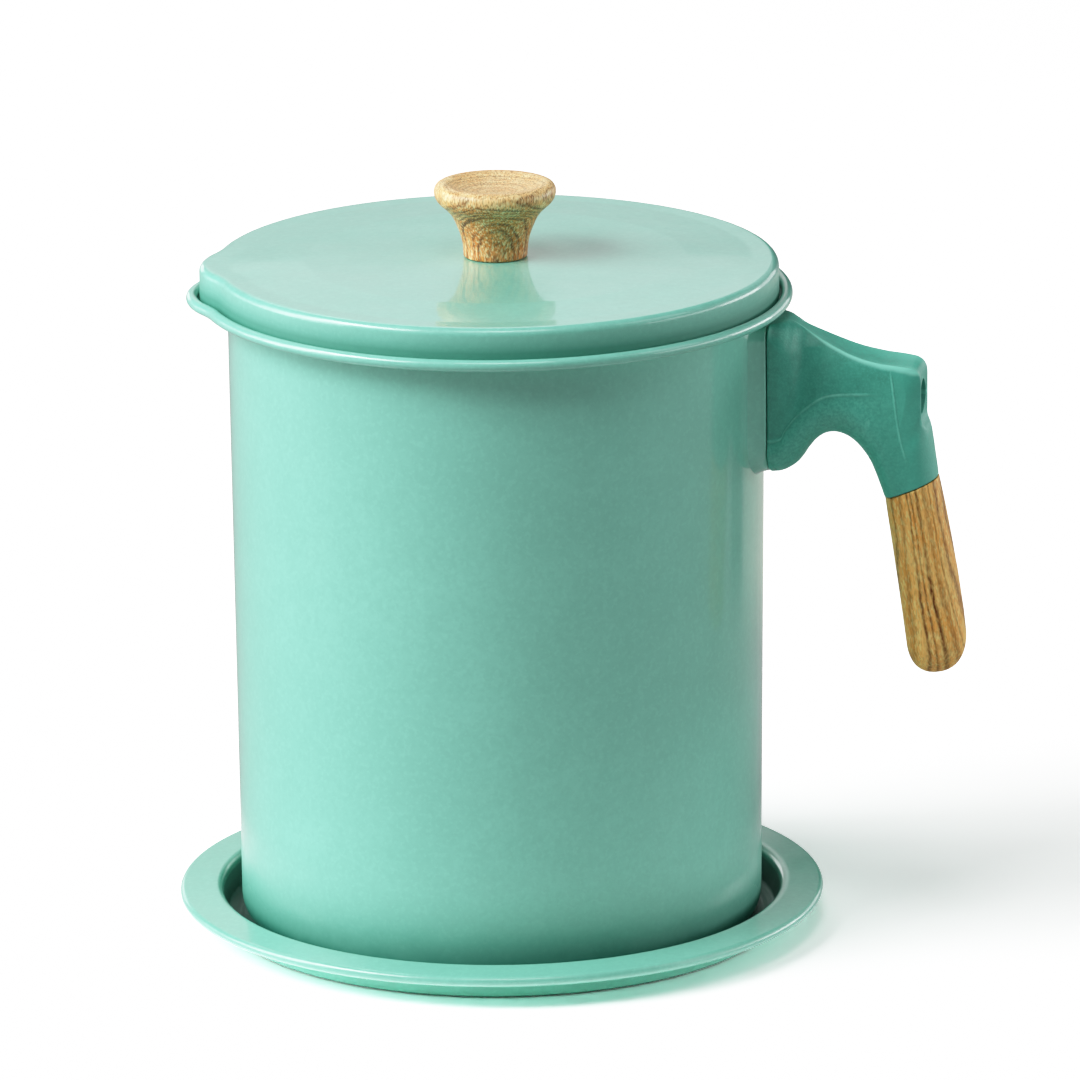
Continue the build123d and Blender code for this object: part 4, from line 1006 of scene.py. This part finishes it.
# ---------------------------------------------------------------------------
# Strainer: cup, woven mesh, clamp ring
# ---------------------------------------------------------------------------
sp = rounded([(50.6, 98.3, 0), (57.2, 98.3, 2.6), (57.78, 144.15, 1.1), (61.3, 144.15, 0)], 10)
sloop = stroke(dense(sp), 0.56, open_start=False)
cup_ob = lathe("strainer_cup_visual", sloop, 320, closed=True)
finish(cup_ob, STAINLESS, "strainer", "stainless", "strainer_cup")
rp = rounded([(50.9, 99.85, 0), (50.9, 99.35, 0.3), (53.25, 99.35, 0.5), (53.25, 98.75, 0)], 6)
rp = rounded([(50.75, 99.25, 0), (50.75, 100.1, 0.35), (53.55, 100.1, 0.45), (53.55, 98.7, 0)], 8)
ring_ob = lathe("mesh_ring_visual", stroke(dense(rp, 0.2), 0.36, open_start=False), 256, closed=True)
finish(ring_ob, STAINLESS, "strainer", "stainless", "mesh_ring")


def woven(name, radius, pitch, wire, z_edge, dish, sides=5):
    rs_ = (radius * radius + dish * dish) / (2 * dish)
    k = int(radius / pitch)
    verts, faces = [], []
    for axis in (0, 1):
        for i in range(-k, k + 1):
            o = i * pitch
            half = math.sqrt(max(radius ** 2 - o ** 2, 0))
            if half < pitch:
                continue
            nseg = int(2 * half / pitch * 4)
            t = np.linspace(-half, half, nseg)
            wave = np.cos(math.pi * t / pitch) * (1 if (i % 2 == 0) else -1) * (1 if axis == 0 else -1)
            rr = np.sqrt(t * t + o * o)
            z = z_edge - (np.sqrt(np.maximum(rs_ ** 2 - rr ** 2, 0)) - (rs_ - dish)) + wave * wire * 0.5
            b0 = len(verts)
            for q in range(nseg):
                for s_ in range(sides):
                    a = 2 * math.pi * s_ / sides
                    du, dv = wire / 2 * math.cos(a), wire / 2 * math.sin(a)
                    if axis == 0:
                        verts.append((t[q], o + du, z[q] + dv))
                    else:
                        verts.append((o + du, t[q], z[q] + dv))
            for q in range(nseg - 1):
                for s_ in range(sides):
                    s2 = (s_ + 1) % sides
                    faces.append((b0 + q * sides + s_, b0 + q * sides + s2,
                                  b0 + (q + 1) * sides + s2, b0 + (q + 1) * sides + s_))
            faces.append(tuple(b0 + s_ for s_ in range(sides)))
            faces.append(tuple(b0 + (nseg - 1) * sides + s_ for s_ in range(sides)))
    return make_obj(name, verts, faces, sharp=80, merge=1e-9)


mesh_ob = woven("strainer_mesh_visual", 52.6, 1.25, 0.36, 98.95, 2.9, 4)
finish(mesh_ob, WIRE, "strainer", "steel_mesh", "strainer_mesh")

# ---------------------------------------------------------------------------
# CAD pieces that stay: fasteners, insert and boss
# ---------------------------------------------------------------------------
for name, mat in (("handle_screw", STEEL), ("handle_washer", STEEL), ("knob_screw", STEEL),
                  ("knob_washer", STEEL), ("bracket_boss", STEEL), ("knob_insert", BRASS)):
    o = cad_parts[name]
    o.data.materials.clear()
    o.data.materials.append(mat)
    for p in o.data.polygons:
        p.use_smooth = True
    o.data.set_sharp_from_angle(angle=math.radians(30))

# ---------------------------------------------------------------------------
# Stage, light and camera. polar(az, el, dist): az 0 towards the camera, positive to its right
# ---------------------------------------------------------------------------
TH = math.radians(10.5)


def rot_to_part(p):
    c, s = math.cos(TH), math.sin(TH)
    return Vector((p[0] * c - p[1] * s, p[0] * s + p[1] * c, p[2]))


def polar(az, el, dist):
    a, e = math.radians(az), math.radians(el)
    return rot_to_part((dist * math.cos(e) * math.sin(a), -dist * math.cos(e) * math.cos(a), dist * math.sin(e)))


floor_me = bpy.data.meshes.new("floor")
s = 14.0
floor_me.from_pydata([(-s, -s, 0), (s, -s, 0), (s, s, 0), (-s, s, 0)], [], [(0, 1, 2, 3)])
floor = bpy.data.objects.new("floor", floor_me)
floor.location.z = -0.00005
bpy.context.scene.collection.objects.link(floor)
fm = Mat("pale_floor")
pale = fm.ramp(fm.noise(fm.mapping(), 3.0, 2.0), [(0.3, (0.985, 0.985, 0.982)), (0.7, (1.0, 1.0, 1.0))])
lift = fm.n("VectorMath", operation="SCALE")
fm.link(pale, lift.inputs[0])
lift.inputs["Scale"].default_value = 1.75
FLOOR_BOUNCE = fm.n("Mix", data_type="RGBA")
fm.link(fm.n("LightPath").outputs["Is Camera Ray"], FLOOR_BOUNCE.inputs[0])
reach = fm.n("VectorMath", operation="LENGTH")
fm.link(fm.mapping(), reach.inputs[0])
# painted pool of light for bounce and reflection rays: the floor is bright round the object and dims further out, while
# the camera sees it evenly pale
near = fm.ramp(fm.maprange(reach.outputs["Value"], 0.0, 0.30, 0.0, 1.0),
               [(0.0, (0.90, 0.90, 0.90)), (0.245, (0.90, 0.90, 0.90)), (0.275, (0.46, 0.46, 0.46)),
                (0.40, (0.17, 0.17, 0.17)), (1.0, (0.16, 0.16, 0.16))])
bounce = fm.n("VectorMath", operation="SCALE")
fm.link(near, bounce.inputs[0])
bounce.inputs["Scale"].default_value = 2.0
# painted shadow and painted light on the floor behind the handle: a darker sector, then a pale one, which the wall's
# right edge mirrors as painted reflections
away = fm.n("VectorMath", operation="SUBTRACT")
fm.link(fm.tc.outputs["Object"], away.inputs[0])
away.inputs[1].default_value = tuple(rot_to_part((0.0539, -0.0263, 0.0)))
gap = fm.n("VectorMath", operation="LENGTH")
fm.link(away.outputs[0], gap.inputs[0])
sector = fm.n("SeparateXYZ")
fm.link(fm.mapping(rot=(0.0, 0.0, -(TH + math.radians(38.0))), src=away.outputs[0]), sector.inputs[0])
aside = fm.math("DIVIDE", sector.outputs[1], fm.math("MAXIMUM", sector.outputs[0], 0.001))
reach_w = fm.math("MULTIPLY", fm.maprange(gap.outputs["Value"], 0.235, 0.315, 0.0, 1.0),
                  fm.maprange(gap.outputs["Value"], 0.66, 0.80, 1.0, 0.0))
pale_w = fm.math("MULTIPLY", fm.maprange(aside, 0.075, 0.150, 0.0, 1.0), fm.maprange(aside, 1.0, 1.6, 1.0, 0.0))
dark_w = fm.math("MULTIPLY", fm.maprange(aside, -0.155, -0.105, 0.0, 1.0), fm.maprange(aside, 0.05, 0.09, 1.0, 0.0))
dimmer = fm.mix(fm.math("MULTIPLY", dark_w, reach_w), bounce.outputs[0], (0.06, 0.06, 0.06))
paler = fm.mix(fm.math("MULTIPLY", pale_w, reach_w), dimmer, (0.50, 0.53, 0.47))
fm.link(paler, FLOOR_BOUNCE.inputs[6])
fm.link(lift.outputs[0], FLOOR_BOUNCE.inputs[7])
fm.link(FLOOR_BOUNCE.outputs[2], fm.b.inputs["Base Color"])
fm.set(Roughness=0.8)
fm.b.inputs["Specular IOR Level"].default_value = 0.0
floor_me.materials.append(fm.m)

world = bpy.data.worlds.new("studio")
bpy.context.scene.world = world
world.use_nodes = True
bg = world.node_tree.nodes["Background"]
bg.inputs[0].default_value = (1.0, 1.0, 1.0, 1)
bg.inputs[1].default_value = 0.0


def softbox(name, az, el, wd, hd, radiance, dist=2.0, aim=(0, 0, 0.08), color=(1, 1, 1)):
    """Plain soft panel, wd by hd degrees as seen from the object."""
    w = 2 * dist * math.tan(math.radians(wd) / 2) * max(0.6, math.cos(math.radians(el)))
    h = 2 * dist * math.tan(math.radians(hd) / 2)
    ld = bpy.data.lights.new(name, "AREA")
    ld.shape = "RECTANGLE"
    ld.size, ld.size_y = w, h
    ld.energy = math.pi * w * h * radiance
    ld.color = color
    ob = bpy.data.objects.new(name, ld)
    ob.location = polar(az, el, dist) + Vector(aim)
    d = Vector(aim) - ob.location
    ob.rotation_euler = d.to_track_quat("-Z", "Y").to_euler()
    ob.visible_camera = False
    bpy.context.scene.collection.objects.link(ob)
    return ob


PANELS = [                     # azimuth, elevation, width and height in degrees, radiance
    (-140, 8, 20, 16, 0.42), (-140, 42, 20, 20, 0.18), (-120, 8, 20, 16, 2.02), (-105, 8, 12, 16, 5.06),
    (-105, 24, 12, 16, 3.68), (-93, 8, 12, 16, 8.99), (-93, 24, 12, 16, 7.58), (-93, 42, 12, 20, 5.73),
    (-81, 8, 12, 16, 6.42), (-81, 24, 12, 16, 10.97), (-81, 42, 12, 20, 13.48), (-69, 8, 12, 16, 2.13),
    (-69, 24, 12, 16, 5.81), (-69, 42, 12, 20, 19.29), (-57, 42, 12, 20, 15.88), (-45, 42, 12, 20, 9.34),
    (-9, 64, 24, 24, 3.16), (16, 64, 26, 24, 3.49), (80, 8, 36, 16, 3.59), (80, 42, 36, 20, 1.8),
    (115, 8, 30, 16, 6.19), (115, 24, 30, 16, 0.61), (142, 8, 24, 16, 1.75), (142, 24, 24, 16, 0.26),
    (165, 24, 22, 16, 0.43), (-175, 8, 20, 16, 0.58), (-175, 24, 20, 16, 0.94), (-175, 42, 20, 20, 1.76),
    (-157, 8, 16, 16, 2.1), (-157, 24, 16, 16, 0.23), (-157, 42, 16, 20, 1.84),
]
for pi, (paz, pel, pw, ph, pr) in enumerate(PANELS):
    softbox("panel_%02d" % pi, paz, pel, pw, ph, pr)

# Camera
D, EL, HH, PP, RHO, FPX = 2.317, 0.2744626509, 0.0041770346, 0.2713480358, -0.0089302300, 10322.3158
cam_loc = rot_to_part((0.0, -D * math.cos(EL), 0.080 + D * math.sin(EL)))
fw = Vector((math.sin(HH) * math.cos(PP), math.cos(HH) * math.cos(PP), -math.sin(PP)))
rt = Vector((math.cos(HH), -math.sin(HH), 0))
dn = fw.cross(rt)
right = math.cos(RHO) * rt - math.sin(RHO) * dn
up = -(math.sin(RHO) * rt + math.cos(RHO) * dn)
cd = bpy.data.cameras.new("camera")
cam = bpy.data.objects.new("camera", cd)
R3 = Matrix([list(rot_to_part(right)), list(rot_to_part(up)), list(rot_to_part(-fw))]).transposed()
cam.matrix_world = Matrix.Translation(cam_loc) @ R3.to_4x4()
cd.sensor_width = 36.0
cd.sensor_fit = "HORIZONTAL"
cd.lens = FPX * 36.0 / 1080.0
cd.clip_start, cd.clip_end = 0.05, 60.0
cd.dof.use_dof = False
bpy.context.scene.collection.objects.link(cam)
bpy.context.scene.camera = cam

vs = bpy.context.scene.view_settings
vs.view_transform = "Standard"
vs.look = "None"
vs.exposure = 0.0
vs.gamma = 1.0
# soft shoulder above KNEE, as a camera's, that reaches white at WHITE
KNEE, WHITE = 0.30, 2.0
vs.use_curve_mapping = True
tone = vs.curve_mapping
tone.white_level = (WHITE, WHITE, WHITE)
tone.tone = "STANDARD"
line = tone.curves[3]
for k in (0.08, 0.15, 0.20, 0.25, 0.325, 0.40, 0.50, 0.60, 0.70, 0.80, 0.90):
    x = k * WHITE
    y = x if x < KNEE else KNEE + (1 - KNEE) * (1 - (1 - (x - KNEE) / (WHITE - KNEE)) ** ((WHITE - KNEE) / (1 - KNEE)))
    line.points.new(k, y)
line.points[0].location = (0.0, 0.0)
line.points[-1].location = (1.0, 1.0)
tone.update()
bpy.context.scene.cycles.use_denoising = True
